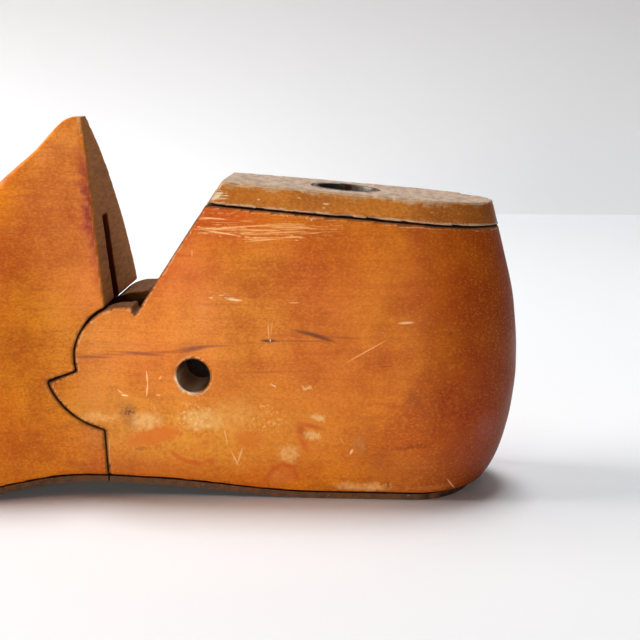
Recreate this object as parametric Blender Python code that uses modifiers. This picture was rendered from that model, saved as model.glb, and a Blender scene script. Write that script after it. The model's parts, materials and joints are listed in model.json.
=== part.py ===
"""Hinged wooden shoe last for a right foot, with a plated sole and a socketed heel top.

Metres, +Z up. The toe points to -X and the inner side of the foot faces -Y. The origin lies under the
middle of the last, on the surface that it stands on.
"""

import math

import bmesh
import bpy
import numpy as np
from mathutils import Matrix, Vector

MM = 0.001

# Lengths along the foot, measured from the hinge pin
FORE_LENGTH = 120.0 * MM
HEEL_LENGTH = 106.0 * MM
TOE_ROUND = 42.0 * MM
HEEL_ROUND = 27.0 * MM

# Heights above the floor
HINGE_HEIGHT = 37.7 * MM
PEAK_HEIGHT = 100.5 * MM
INSTEP_DROP = 10.0 * MM
VAMP_RISE = 12.0 * MM
HEEL_FRONT_HEIGHT = 83.9 * MM
TOE_HEIGHT = 31.0 * MM
TOE_FALL = 4.0 * MM
ARCH_RISE = 3.4 * MM
TOE_SPRING = 8.0 * MM

# Widths across the foot
BALL_WIDTH = 77.0 * MM
WAIST_WIDTH = 38.0 * MM
SEAT_WIDTH = 43.0 * MM
HEEL_BULGE = 3.6 * MM
TOP_WIDTH = 25.0 * MM
RIDGE_SIDE = -10.6 * MM
TOE_SIDE = -9.0 * MM
TOE_BLUNTNESS = 0.8

# Joint between the two halves: a stepped tongue round the hinge pin, under an open V
TONGUE_RADIUS = 12.3 * MM
TONGUE_STEP = 7.9 * MM
TONGUE_STEP_ANGLE = math.radians(198)
TOOTH_RADIUS = 14.0 * MM
TOOTH_ANGLE = math.radians(76.8)
JOINT_GAP = 0.5 * MM
MOUTH_GAP = 1.3 * MM
MOUTH_SWEEP = math.radians(40)
FORE_FACE_ANGLE = math.radians(96.6)
HEEL_FACE_ANGLE = math.radians(57.0)
FACE_OFFSET = 2.6 * MM
NOTCH_DEPTH = 2.6 * MM
LIP_INSET = 4.3 * MM
LIP_LEAN = 1.0 * MM

# Slab on top of the heel, and the steel socket in it
SLAB_THICKNESS = 6.0 * MM
SLAB_SLOPE = math.radians(-4.8)
SLAB_SEAM = 0.5 * MM
SOCKET_BORE = 15.9 * MM
SOCKET_WALL = 1.2 * MM
SOCKET_DEPTH = 46.0 * MM
SOCKET_BACK = 59.2 * MM
SOCKET_FLOOR_GAP = 0.3 * MM

# Hole through the heel for the pulling hook
HOOK_HOLE = 9.0 * MM
HOOK_BACK = 20.0 * MM
HOOK_DROP = 4.2 * MM

# Hinge strap and its pins
HINGE_SIDE = -2.0 * MM
STRAP_THICKNESS = 4.0 * MM
STRAP_HEIGHT = 13.0 * MM
STRAP_EYE = 8.0 * MM
STRAP_LENGTH = 42.0 * MM
STRAP_CORNER = 2.0 * MM
HINGE_PIN = 6.0 * MM
STRAP_PIN = 5.0 * MM
PIN_LENGTH = 31.0 * MM
STRAP_PIN_SPACING = 17.0 * MM
STRAP_PIN_FROM_END = 7.0 * MM
KERF_WIDTH = 6.0 * MM
KERF_TOP = 73.3 * MM
TONGUE_SLOT = 16.0 * MM
SLOT_ROOM = 2.0 * MM

# Sole plates and nails
PLATE_THICKNESS = 1.6 * MM
PLATE_INSET = 0.4 * MM
HEEL_END_INSET = 2.9 * MM
NAIL_HEAD = 5.0 * MM
NAIL_SHANK = 2.2 * MM
NAIL_LENGTH = 14.0 * MM
NAIL_SINK = 1.1 * MM
NAIL_RECESS = 0.12 * MM
NAIL_EDGE = 8.0 * MM
SLAB_NAIL_LENGTH = 22.0 * MM
SLAB_NAIL_END = 7.0 * MM
SLAB_NAIL_GAUGE = 9.0 * MM
FORE_NAIL_ROWS = (-0.22, -0.42, -0.62)
HEEL_NAIL_ROWS = (0.14, 0.45, 0.72)
TOE_NAIL_TURN = math.radians(42)

# Clearances
SEAT_GAP = 0.3 * MM
PIN_GAP = 0.15 * MM

# Points this close are one
WELD = 0.02 * MM

# Values worked out from the sizes above
LENGTH = FORE_LENGTH + HEEL_LENGTH
TOE_X = -LENGTH / 2
HEEL_X = LENGTH / 2
PIVOT = Vector((TOE_X + FORE_LENGTH, HINGE_SIDE, HINGE_HEIGHT))
FAR = 0.4
CURVE_STEPS = 14
WOOD_LIFT = PLATE_THICKNESS + SEAT_GAP
BALL_POINT = -0.5
TOP_REACH = 8.0 * MM


def clear_scene():
    for obj in list(bpy.data.objects):
        bpy.data.objects.remove(obj, do_unlink=True)


def new_collection(name, hidden=False):
    collection = bpy.data.collections.new(name)
    bpy.context.scene.collection.children.link(collection)
    collection.hide_render = hidden
    return collection


def new_material(name, colour, roughness, metallic=0.0):
    material = bpy.data.materials.new(name)
    material.use_nodes = True
    shader = material.node_tree.nodes["Principled BSDF"]
    shader.inputs["Base Color"].default_value = (*colour, 1.0)
    shader.inputs["Roughness"].default_value = roughness
    shader.inputs["Metallic"].default_value = metallic
    return material


def new_object(name, mesh, collection, material=None):
    obj = bpy.data.objects.new(name, mesh)
    collection.objects.link(obj)
    if material:
        mesh.materials.clear()
        mesh.materials.append(material)
    return obj


def as_cutter(obj):
    obj.hide_render = True
    obj.display_type = "WIRE"
    return obj


def shade(mesh, degrees=35):
    mesh.shade_smooth()
    mesh.set_sharp_from_angle(angle=math.radians(degrees))


def mesh_from_bmesh(name, shape):
    mesh = bpy.data.meshes.new(name)
    bmesh.ops.recalc_face_normals(shape, faces=shape.faces)
    shape.to_mesh(mesh)
    shape.free()
    shade(mesh)
    return mesh


def smooth_curve(points):
    """A curve through (place, value) points that never overshoots them."""
    places, values = np.array(points, float).T
    widths = np.diff(places)
    slopes = np.diff(values) / widths
    ends = np.concatenate([slopes[:1], slopes, slopes[-1:]])
    before, after = ends[:-1], ends[1:]
    same_way = before * after > 0
    total = np.where(same_way, before + after, 1.0)
    tangents = np.where(same_way, 2 * before * after / total, 0.0)

    def at(place):
        place = np.clip(place, places[0], places[-1])
        k = np.clip(np.searchsorted(places, place) - 1, 0, len(widths) - 1)
        t = (place - places[k]) / widths[k]
        rise = values[k + 1] - values[k]
        start, end = tangents[k] * widths[k], tangents[k + 1] * widths[k]
        return values[k] + t * (start + t * (3 * rise - 2 * start - end + t * (start + end - 2 * rise)))

    return at


def share(x):
    """Where x lies along the foot: -1 at the toe, 0 at the hinge pin, 1 at the back of the heel."""
    from_pivot = np.asarray(x) - PIVOT.x
    return np.where(from_pivot < 0, from_pivot / FORE_LENGTH, from_pivot / HEEL_LENGTH)


# Height of the underside of the plates
UNDERSIDE = smooth_curve([
    (-1.0, TOE_SPRING), (-0.85, 0.4 * TOE_SPRING), (-0.6, 0.0), (-0.42, 0.0),
    (-0.1, ARCH_RISE), (0.1, 0.85 * ARCH_RISE), (0.5, 0.0), (0.85, 0.0), (1.0, 0.3 * MM),
])

# Height of the ridge over the foot, and over the heel before its top is cut flat
RIDGE = smooth_curve([
    (-1.0, TOE_HEIGHT - TOE_FALL), (-0.88, TOE_HEIGHT), (-0.7, TOE_HEIGHT + VAMP_RISE),
    (-0.45, 0.5 * (TOE_HEIGHT + PEAK_HEIGHT)), (-0.2, PEAK_HEIGHT - INSTEP_DROP), (-0.1, PEAK_HEIGHT),
    (-0.04, PEAK_HEIGHT), (0.25, HEEL_FRONT_HEIGHT + TOP_REACH), (1.0, HEEL_FRONT_HEIGHT + TOP_REACH),
])

# Sideways place of the ridge, and half the width of its flat
RIDGE_Y = smooth_curve([
    (-1.0, TOE_SIDE), (-0.6, -6 * MM), (-0.1, RIDGE_SIDE), (0.25, 0.0), (1.0, 0.0),
])
RIDGE_HALF = smooth_curve([
    (-1.0, 5 * MM), (-0.5, 4 * MM), (-0.1, 2.6 * MM), (0.25, 0.40 * TOP_WIDTH),
    (0.5, 0.46 * TOP_WIDTH), (1.0, 0.40 * TOP_WIDTH),
])

# Each side's edge at the sole
INNER_SOLE = smooth_curve([
    (-1.0, -0.42 * BALL_WIDTH), (-0.72, -0.45 * BALL_WIDTH), (BALL_POINT, -0.47 * BALL_WIDTH),
    (-0.05, -0.55 * WAIST_WIDTH), (0.3, -0.50 * SEAT_WIDTH), (0.8, -0.50 * SEAT_WIDTH),
    (1.0, -0.48 * SEAT_WIDTH),
])
OUTER_SOLE = smooth_curve([
    (-1.0, 0.30 * BALL_WIDTH), (-0.72, 0.40 * BALL_WIDTH), (BALL_POINT, 0.47 * BALL_WIDTH),
    (-0.05, 0.53 * WAIST_WIDTH), (0.3, 0.50 * SEAT_WIDTH), (0.8, 0.50 * SEAT_WIDTH),
    (1.0, 0.48 * SEAT_WIDTH),
])

# How far the sides swell past the sole's edge, and how high up
INNER_SWELL = smooth_curve([
    (-1.0, 2 * MM), (BALL_POINT, 2 * MM), (-0.1, 1 * MM), (0.3, 1.8 * HEEL_BULGE), (1.0, 1.8 * HEEL_BULGE),
])
OUTER_SWELL = smooth_curve([
    (-1.0, 2 * MM), (BALL_POINT, 2 * MM), (-0.1, 26 * MM), (0.3, 2.0 * HEEL_BULGE), (1.0, 1.8 * HEEL_BULGE),
])
SWELL_LIFT = smooth_curve([(-1.0, 7 * MM), (BALL_POINT, 15 * MM), (-0.1, 28 * MM), (1.0, 30 * MM)])

# Each side's shoulder under the ridge, and how far it lies below the ridge
INNER_SHOULDER = smooth_curve([
    (-1.0, -25 * MM), (BALL_POINT, -26 * MM), (-0.1, -11 * MM), (0.25, -20 * MM), (1.0, -19 * MM),
])
OUTER_SHOULDER = smooth_curve([
    (-1.0, 15 * MM), (BALL_POINT, 22 * MM), (-0.1, 24 * MM), (0.25, 19 * MM), (1.0, 19 * MM),
])
INNER_DROP = smooth_curve([
    (-1.0, 1 * MM), (BALL_POINT, -1 * MM), (-0.1, 12 * MM), (0.25, 20 * MM), (1.0, 26 * MM),
])
OUTER_DROP = smooth_curve([
    (-1.0, 1 * MM), (BALL_POINT, 1 * MM), (-0.1, 23 * MM), (0.25, 20 * MM), (1.0, 26 * MM),
])

# How far the back of the heel and the front of the toe draw in, by height
HEEL_INSET = smooth_curve([
    (0.0, 11.0 * MM), (2.5 * MM, 8.4 * MM), (7 * MM, 5.4 * MM), (14 * MM, 2.8 * MM), (22 * MM, 1.1 * MM),
    (33 * MM, 0.0), (38 * MM, 0.0), (50 * MM, 1.0 * MM), (63 * MM, 3.7 * MM), (77 * MM, 7.3 * MM),
    (95 * MM, 12.5 * MM),
])
TOE_INSET = smooth_curve([(0.0, 2.2 * MM), (0.35, 0.0), (0.5, 0.0), (0.8, 5 * MM), (1.0, 15 * MM)])


def side_curve(x, inner):
    """The four control points (y, z) of one side of the section at x, from the sole up to the ridge."""
    u = share(x)
    sign = -1 if inner else 1
    sole_y = INNER_SOLE(u) if inner else OUTER_SOLE(u)
    swell = INNER_SWELL(u) if inner else OUTER_SWELL(u)
    shoulder = INNER_SHOULDER(u) if inner else OUTER_SHOULDER(u)
    drop = INNER_DROP(u) if inner else OUTER_DROP(u)
    sole_z = UNDERSIDE(u) + WOOD_LIFT
    ridge_z = RIDGE(u)
    return [
        (sole_y, sole_z),
        (sole_y + sign * swell, sole_z + SWELL_LIFT(u)),
        (shoulder, ridge_z - drop),
        (RIDGE_Y(u) + sign * RIDGE_HALF(u), ridge_z),
    ]


def bezier(controls, t):
    a, b, c, d = (np.array(control)[:, None] for control in controls)
    s = 1 - t
    return s**3 * a + 3 * s**2 * t * b + 3 * s * t**2 * c + t**3 * d


def stations():
    """(x, turn) of each section: turn is 0 along the foot and runs to a right angle round each end."""
    toe_start, heel_start = TOE_X + TOE_ROUND, HEEL_X - HEEL_ROUND
    toe = [(toe_start, -turn) for turn in np.linspace(math.pi / 2, 0, 11)[:-1]]
    middle = [(x, 0.0) for x in np.linspace(toe_start, heel_start, 27)]
    heel = [(heel_start, turn) for turn in np.linspace(0, math.pi / 2, 10)[1:]]
    return toe + middle + heel


def section(x, turn):
    """Points of one section, inner side up to the ridge and then down the outer side, as (2, n, 3)."""
    t = np.linspace(0, 1, CURVE_STEPS)
    reach = HEEL_ROUND if turn > 0 else TOE_ROUND
    place = x + reach * math.sin(turn)
    centre = 0.0 if turn > 0 else TOE_SIDE
    narrowing = math.cos(turn) if turn > 0 else max(math.cos(turn), 0.0) ** TOE_BLUNTNESS
    sides = []
    for inner in (True, False):
        y, z = bezier(side_curve(place, inner), t)
        inset = HEEL_INSET(z) if turn > 0 else -TOE_INSET(t)
        along = x + (reach - np.abs(inset)) * math.sin(turn)
        sides.append(np.stack([along, centre + (y - centre) * narrowing, z], axis=-1))
    return np.array(sides)


def body_mesh():
    """The whole wooden body before it is cut in two: the sections joined from toe to heel."""
    sections = [section(x, turn) for x, turn in stations()]
    shape = bmesh.new()
    rings = []
    for inner, outer in sections:
        ring = np.concatenate([inner, outer[::-1]])
        rings.append([shape.verts.new(point) for point in ring])
    count = len(rings[0])
    for near, far in zip(rings, rings[1:]):
        for k in range(count):
            n = (k + 1) % count
            shape.faces.new((near[k], near[n], far[n], far[k]))
    bmesh.ops.remove_doubles(shape, verts=shape.verts, dist=WELD)
    bmesh.ops.dissolve_degenerate(shape, edges=shape.edges, dist=WELD / 2)
    ends = [edge for edge in shape.edges if edge.is_boundary]
    if ends:
        bmesh.ops.holes_fill(shape, edges=ends)
    bmesh.ops.triangulate(shape, faces=[face for face in shape.faces if len(face.verts) > 4])
    return mesh_from_bmesh("last_body", shape)


def sole_sheet_mesh():
    """The sheet at the middle of the plates' thickness, drawn in from the sole's edge all round."""
    across = np.linspace(0, 1, 7)[:, None]
    shape = bmesh.new()
    rows = []
    for x, turn in stations():
        inner, outer = section(x, turn)[:, 0]
        row = inner + (outer - inner) * across
        centre_x = TOE_X + TOE_ROUND if turn < 0 else HEEL_X - HEEL_ROUND
        middle = np.array([centre_x if turn else x, row[:, 1].mean(), 0.0])
        out = (row - middle) * [1.0, 1.0, 0.0]
        size = np.linalg.norm(out, axis=1, keepdims=True)
        inset = PLATE_INSET + HEEL_END_INSET * max(math.sin(turn), 0.0)
        row = row - out * inset / np.maximum(size, inset)
        row[:, 2] = UNDERSIDE(share(row[:, 0])) + PLATE_THICKNESS / 2
        rows.append([shape.verts.new(point) for point in row])
    for near, far in zip(rows, rows[1:]):
        for k in range(len(across) - 1):
            shape.faces.new((near[k], far[k], far[k + 1], near[k + 1]))
    bmesh.ops.remove_doubles(shape, verts=shape.verts, dist=WELD)
    bmesh.ops.dissolve_degenerate(shape, edges=shape.edges, dist=WELD / 2)
    return mesh_from_bmesh("sole_sheet", shape)


def prism(name, outline, half_width, collection, side=0.0):
    """A cutter with the given (x, z) outline, reaching half_width each way from side along Y."""
    shape = bmesh.new()
    base = shape.faces.new([shape.verts.new((x, side - half_width, z)) for x, z in outline])
    grown = bmesh.ops.extrude_face_region(shape, geom=[base])
    moved = [item for item in grown["geom"] if isinstance(item, bmesh.types.BMVert)]
    bmesh.ops.translate(shape, verts=moved, vec=(0, 2 * half_width, 0))
    return as_cutter(new_object(name, mesh_from_bmesh(name, shape), collection))


def arc(radius, start, end, steps=20, end_radius=None):
    """Points (x, z) round the hinge pin, drawing in evenly to end_radius where one is given."""
    angles = np.linspace(start, end, steps)
    radii = np.linspace(radius, end_radius or radius, steps)
    return [(PIVOT.x + r * math.cos(a), PIVOT.z + r * math.sin(a)) for a, r in zip(angles, radii)]


def face_point(angle, along):
    """A point on a V face: FACE_OFFSET to the left of the pin's own line at that angle."""
    x = PIVOT.x + along * math.cos(angle) - FACE_OFFSET * math.sin(angle)
    z = PIVOT.z + along * math.sin(angle) + FACE_OFFSET * math.cos(angle)
    return (x, z)


def lip_x(z):
    """Front face of the heel's foot: it leans back from the tongue down to the sole."""
    top = PIVOT.z - TONGUE_RADIUS - TONGUE_STEP
    return PIVOT.x - LIP_INSET + LIP_LEAN * (top - z) / top


def fore_outline():
    """(x, z) outline of all that belongs to the forepart."""
    radius = TONGUE_RADIUS + JOINT_GAP
    low_radius = radius + TONGUE_STEP
    mouth = TONGUE_RADIUS + MOUTH_GAP
    meet = FORE_FACE_ANGLE + math.asin(FACE_OFFSET / mouth)
    lip_angle = math.pi + math.acos((LIP_INSET + JOINT_GAP) / low_radius)
    narrow = meet + MOUTH_SWEEP
    high = arc(mouth, meet, narrow, 12, radius) + arc(radius, narrow, TONGUE_STEP_ANGLE)[1:]
    low = arc(low_radius, TONGUE_STEP_ANGLE, lip_angle)
    foot = (lip_x(-FAR) - JOINT_GAP, -FAR)
    top = face_point(FORE_FACE_ANGLE, FAR)
    return [top, *high, *low, foot, (-FAR, -FAR), (-FAR, top[1])]


def heel_outline(height_at):
    """(x, z) outline of the heel half, up to height_at(x)."""
    low_radius = TONGUE_RADIUS + TONGUE_STEP
    lip_angle = math.pi + math.acos(LIP_INSET / low_radius)
    tangent = TOOTH_ANGLE + math.acos(TONGUE_RADIUS / TOOTH_RADIUS)
    high = arc(TONGUE_RADIUS, tangent, TONGUE_STEP_ANGLE + JOINT_GAP / TONGUE_RADIUS)
    low = arc(low_radius, TONGUE_STEP_ANGLE + JOINT_GAP / TONGUE_RADIUS, lip_angle)
    tooth = arc(TOOTH_RADIUS, TOOTH_ANGLE, TOOTH_ANGLE, 1)
    notch = face_point(HEEL_FACE_ANGLE, TOOTH_RADIUS - NOTCH_DEPTH)
    front = heel_face_at(height_at)
    back = (FAR, height_at(FAR))
    return [*tooth, *high, *low, (lip_x(-FAR), -FAR), (FAR, -FAR), back, front, notch]


def heel_face_at(height_at):
    """Where the heel's sloping front face meets the line height_at."""
    along = PEAK_HEIGHT
    for _ in range(40):
        x, z = face_point(HEEL_FACE_ANGLE, along)
        along += height_at(x) - z
    return face_point(HEEL_FACE_ANGLE, along)


def slab_top(x):
    return HEEL_FRONT_HEIGHT + (x - SLAB_FRONT_X) * math.tan(SLAB_SLOPE)


def slab_bottom(x):
    return slab_top(x) - SLAB_THICKNESS / math.cos(SLAB_SLOPE)


def block_top(x):
    return slab_bottom(x) - SLAB_SEAM


SLAB_FRONT_X = heel_face_at(lambda x: HEEL_FRONT_HEIGHT)[0]


def slab_outline():
    front_low, front_high = heel_face_at(slab_bottom), heel_face_at(slab_top)
    return [front_low, (FAR, slab_bottom(FAR)), (FAR, slab_top(FAR)), front_high]


def cylinder(name, radius, length, matrix, collection, sides=32):
    """A cylinder along local Z, centred on the matrix's place."""
    shape = bmesh.new()
    bmesh.ops.create_cone(
        shape, cap_ends=True, segments=sides, radius1=radius, radius2=radius, depth=length
    )
    obj = new_object(name, mesh_from_bmesh(name, shape), collection)
    obj.matrix_world = matrix
    return obj


def across(x, y, z):
    """Local Z turned to lie across the foot."""
    return Matrix.Translation((x, y, z)) @ Matrix.Rotation(math.pi / 2, 4, "X")


def turned(name, profile, matrix, collection, material=None, sides=24):
    """A profile of (radius, height) points from the top down, turned about local Z by a Screw."""
    mesh = bpy.data.meshes.new(name)
    mesh.from_pydata([(r, 0, z) for r, z in profile], [(i, i + 1) for i in range(len(profile) - 1)], [])
    obj = new_object(name, mesh, collection, material)
    obj.matrix_world = matrix
    screw = obj.modifiers.new("Turn", "SCREW")
    screw.axis = "Z"
    screw.steps = sides
    screw.render_steps = sides
    screw.use_merge_vertices = True
    screw.merge_threshold = WELD / 2
    screw.use_smooth_shade = True
    return obj


def cut(obj, target, operation):
    """A Boolean with one object or with a collection of them."""
    modifier = obj.modifiers.new(target.name, "BOOLEAN")
    modifier.operation = operation
    modifier.solver = "EXACT"
    if isinstance(target, bpy.types.Collection):
        modifier.operand_type = "COLLECTION"
        modifier.collection = target
    else:
        modifier.object = target


def nail_profile(head, shank, length, sink, grow=0.0):
    """Countersunk nail from its point, above, down to its head."""
    return [
        (0.0, length + grow), (shank / 2 + grow, length - 1.5 * shank + grow),
        (shank / 2 + grow, sink + grow), (head / 2 + grow, 0.0), (head / 2 + grow, -grow), (0.0, -grow),
    ]


def sole_nail_places(fore):
    """(x, y) of each nail: in pairs along the plate, and round its end."""
    places = []
    for u in FORE_NAIL_ROWS if fore else HEEL_NAIL_ROWS:
        x = PIVOT.x + u * (FORE_LENGTH if fore else HEEL_LENGTH)
        places.append((x, float(INNER_SOLE(u)) + NAIL_EDGE))
        places.append((x, float(OUTER_SOLE(u)) - NAIL_EDGE))
    if not fore:
        return places + [(HEEL_X - float(HEEL_INSET(0.0)) - NAIL_EDGE, 0.0)]
    start = TOE_X + TOE_ROUND
    for edge in (INNER_SOLE, OUTER_SOLE):
        across_toe = float(edge(share(start))) - TOE_SIDE
        inward = 1 - NAIL_EDGE / abs(across_toe)
        x = start - (TOE_ROUND - NAIL_EDGE) * math.cos(TOE_NAIL_TURN)
        places.append((x, TOE_SIDE + across_toe * inward * math.sin(TOE_NAIL_TURN)))
    return places


def add_sole_nails(half, fore, collection, cutters, material):
    """The nails of one plate, and a collection of the holes that they sit in."""
    holes = bpy.data.collections.new(half + "_nail_holes")
    cutters.children.link(holes)
    solid = nail_profile(NAIL_HEAD, NAIL_SHANK, NAIL_LENGTH, NAIL_SINK)
    hole = nail_profile(NAIL_HEAD, NAIL_SHANK, NAIL_LENGTH, NAIL_SINK, SEAT_GAP)
    for number, (x, y) in enumerate(sole_nail_places(fore), 1):
        place = Matrix.Translation((x, y, float(UNDERSIDE(share(x))) + NAIL_RECESS))
        turned(f"{half}_nail_{number}", solid, place, collection, material)
        as_cutter(turned(f"{half}_nail_hole_{number}", hole, place, holes))
    return holes


def slab_frame(back, side):
    """Local Z square to the slab's top, with its origin on that top, back along the slab from its front."""
    x = SLAB_FRONT_X + back * math.cos(SLAB_SLOPE)
    return Matrix.Translation((x, side, slab_top(x))) @ Matrix.Rotation(-SLAB_SLOPE, 4, "Y")


def slab_length():
    """From the slab's front edge to its back edge, along its top."""
    back = HEEL_X - float(HEEL_INSET(slab_top(HEEL_X)))
    return (back - SLAB_FRONT_X) / math.cos(SLAB_SLOPE)


def slab_nail_frames():
    """Two nails at the front and two at the back, point down."""
    frames = []
    for back in (SLAB_NAIL_END, slab_length() - SLAB_NAIL_END):
        for side in (-SLAB_NAIL_GAUGE / 2, SLAB_NAIL_GAUGE / 2):
            frames.append(slab_frame(back, side) @ Matrix.Rotation(math.pi, 4, "X"))
    return frames


def add_slab_nails(collection, cutters, material):
    holes = bpy.data.collections.new("slab_nail_holes")
    cutters.children.link(holes)
    solid = nail_profile(NAIL_HEAD, NAIL_SHANK, SLAB_NAIL_LENGTH, NAIL_SINK)
    hole = nail_profile(NAIL_HEAD, NAIL_SHANK, SLAB_NAIL_LENGTH, NAIL_SINK, SEAT_GAP)
    for number, frame in enumerate(slab_nail_frames(), 1):
        sunk = frame @ Matrix.Translation((0, 0, NAIL_RECESS))
        turned(f"slab_nail_{number}", solid, sunk, collection, material)
        as_cutter(turned(f"slab_nail_hole_{number}", hole, sunk, holes))
    return holes


def add_socket(collection, cutters, material):
    """The steel tube let into the heel's top, and the hole for it."""
    outer = SOCKET_BORE / 2 + SOCKET_WALL
    bore = SOCKET_BORE / 2
    frame = slab_frame(PIVOT.x + SOCKET_BACK - SLAB_FRONT_X, 0.0)
    profile = [(bore, 0), (outer, 0), (outer, -SOCKET_DEPTH), (bore, -SOCKET_DEPTH), (bore, 0)]
    tube = turned("socket_tube", profile, frame, collection, material, 40)
    hole_depth = SOCKET_DEPTH + SOCKET_FLOOR_GAP
    middle = frame @ Matrix.Translation((0, 0, (FAR - hole_depth) / 2))
    hole = as_cutter(
        cylinder("socket_hole", outer + SEAT_GAP, hole_depth + FAR, middle, cutters, 40)
    )
    return tube, hole


def strap_outline():
    """The strap from its square end in the forepart to the eye round the hinge pin."""
    half = STRAP_HEIGHT / 2
    end = PIVOT.x - STRAP_LENGTH
    open_angle = math.asin(half / STRAP_EYE)
    eye = arc(STRAP_EYE, -math.pi + open_angle, math.pi - open_angle, 28)
    cut_end = end + STRAP_CORNER
    return [
        (end, PIVOT.z + half - STRAP_CORNER), (end, PIVOT.z - half + STRAP_CORNER),
        (cut_end, PIVOT.z - half), *eye, (cut_end, PIVOT.z + half),
    ]


def strap_pin_places():
    first = PIVOT.x - STRAP_LENGTH + STRAP_PIN_FROM_END
    return [first, first + STRAP_PIN_SPACING]


def add_hinge(collection, cutters, steel):
    """The strap, the pin it turns on, the pins that hold it, and the spacers beside it."""
    strap = prism("hinge_strap", strap_outline(), STRAP_THICKNESS / 2, collection, HINGE_SIDE)
    strap.hide_render = False
    strap.display_type = "TEXTURED"
    strap.data.materials.append(steel)
    reach = PIN_LENGTH + 2 * SEAT_GAP
    pin_place = across(PIVOT.x, HINGE_SIDE, PIVOT.z)
    cylinder("hinge_pin", HINGE_PIN / 2, PIN_LENGTH, pin_place, collection).data.materials.append(steel)
    bore = HINGE_PIN / 2 + PIN_GAP
    pin_hole = as_cutter(cylinder("hinge_pin_hole", bore, reach, pin_place, cutters))
    cut(strap, pin_hole, "DIFFERENCE")
    spacer_length = (TONGUE_SLOT - STRAP_THICKNESS) / 2 - 2 * SEAT_GAP
    profile = [
        (bore, spacer_length / 2), (STRAP_HEIGHT / 2, spacer_length / 2),
        (STRAP_HEIGHT / 2, -spacer_length / 2), (bore, -spacer_length / 2), (bore, spacer_length / 2),
    ]
    for name, way in (("hinge_spacer_inner", -1), ("hinge_spacer_outer", 1)):
        y = HINGE_SIDE + way * (STRAP_THICKNESS / 2 + SEAT_GAP + spacer_length / 2)
        turned(name, profile, across(PIVOT.x, y, PIVOT.z), collection, steel, 32)
    holes = bpy.data.collections.new("strap_pin_holes")
    cutters.children.link(holes)
    for name, x in zip(("strap_pin_front", "strap_pin_back"), strap_pin_places()):
        place = across(x, HINGE_SIDE, PIVOT.z)
        cylinder(name, STRAP_PIN / 2, PIN_LENGTH, place, collection).data.materials.append(steel)
        as_cutter(cylinder(name + "_hole", STRAP_PIN / 2 + PIN_GAP, reach, place, holes))
    cut(strap, holes, "DIFFERENCE")
    return pin_hole, holes


def kerf_outline():
    """The saw kerf in the forepart that takes the strap and rises up its face."""
    low = PIVOT.z - STRAP_HEIGHT / 2 - SEAT_GAP
    high = PIVOT.z + STRAP_HEIGHT / 2 + SLOT_ROOM
    end = PIVOT.x - STRAP_LENGTH - SEAT_GAP
    rise = PIVOT.x - STRAP_EYE - STRAP_HEIGHT
    return [(end, low), (FAR, low), (FAR, KERF_TOP), (rise, KERF_TOP), (rise - SLOT_ROOM, high), (end, high)]


def tongue_slot_outline():
    """The slot in the heel's tongue, open towards the forepart and up into the V."""
    back = PIVOT.x + STRAP_EYE + SLOT_ROOM
    low = PIVOT.z - STRAP_EYE - SLOT_ROOM
    return [(-FAR, low), (back, low), (back, FAR), (-FAR, FAR)]


def add_plate(name, sheet, region, holes, collection, material):
    plate = new_object(name, sheet.copy(), collection, material)
    solid = plate.modifiers.new("Thickness", "SOLIDIFY")
    solid.thickness = PLATE_THICKNESS
    solid.offset = 0.0
    cut(plate, region, "INTERSECT")
    cut(plate, holes, "DIFFERENCE")
    return plate


def add_wood(name, body, region, cutters, collection, material):
    wood = new_object(name, body.copy(), collection, material)
    cut(wood, region, "INTERSECT")
    for cutter in cutters:
        cut(wood, cutter, "DIFFERENCE")
    return wood


def centre_across(*groups):
    """Moves everything sideways together, so that the widest points lie evenly about the origin."""
    points = np.concatenate([section(x, turn).reshape(-1, 3) for x, turn in stations()])
    middle = (points[:, 1].min() + points[:, 1].max()) / 2
    for group in groups:
        for obj in group:
            obj.matrix_world = Matrix.Translation((0, -middle, 0)) @ obj.matrix_world


def main():
    clear_scene()
    last = new_collection("hinged_last")
    cutters = new_collection("cutters", hidden=True)
    maple = new_material("orange_stained_maple", (0.60, 0.19, 0.025), 0.4)
    slab_maple = new_material("worn_bare_maple", (0.47, 0.24, 0.06), 0.5)
    iron = new_material("dark_iron_plate", (0.05, 0.045, 0.04), 0.5, 1.0)
    steel = new_material("hinge_steel", (0.30, 0.29, 0.28), 0.4, 1.0)

    body = body_mesh()
    sheet = sole_sheet_mesh()
    fore_region = prism("fore_region", fore_outline(), FAR, cutters)
    heel_region = prism("heel_region", heel_outline(block_top), FAR, cutters)
    slab_region = prism("slab_region", slab_outline(), FAR, cutters)
    kerf = prism("fore_kerf", kerf_outline(), KERF_WIDTH / 2, cutters, HINGE_SIDE)
    slot = prism("tongue_slot", tongue_slot_outline(), TONGUE_SLOT / 2, cutters, HINGE_SIDE)

    pin_hole, strap_pin_holes = add_hinge(last, cutters, steel)
    tube, socket_hole = add_socket(last, cutters, steel)
    fore_nail_holes = add_sole_nails("fore", True, last, cutters, steel)
    heel_nail_holes = add_sole_nails("heel", False, last, cutters, steel)
    slab_nail_holes = add_slab_nails(last, cutters, steel)
    hook_place = across(PIVOT.x + HOOK_BACK, 0.0, PIVOT.z - HOOK_DROP)
    hook_hole = as_cutter(cylinder("hook_hole", HOOK_HOLE / 2, FAR, hook_place, cutters, 40))

    add_wood("forepart", body, fore_region, [kerf, strap_pin_holes, fore_nail_holes], last, maple)
    heel_cuts = [slot, pin_hole, hook_hole, socket_hole, heel_nail_holes, slab_nail_holes]
    add_wood("heel_block", body, heel_region, heel_cuts, last, maple)
    add_wood("heel_slab", body, slab_region, [socket_hole, slab_nail_holes], last, slab_maple)
    add_plate("fore_plate", sheet, fore_region, fore_nail_holes, last, iron)
    add_plate("heel_plate", sheet, heel_region, heel_nail_holes, last, iron)
    centre_across(last.all_objects, cutters.all_objects)


main()
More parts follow.
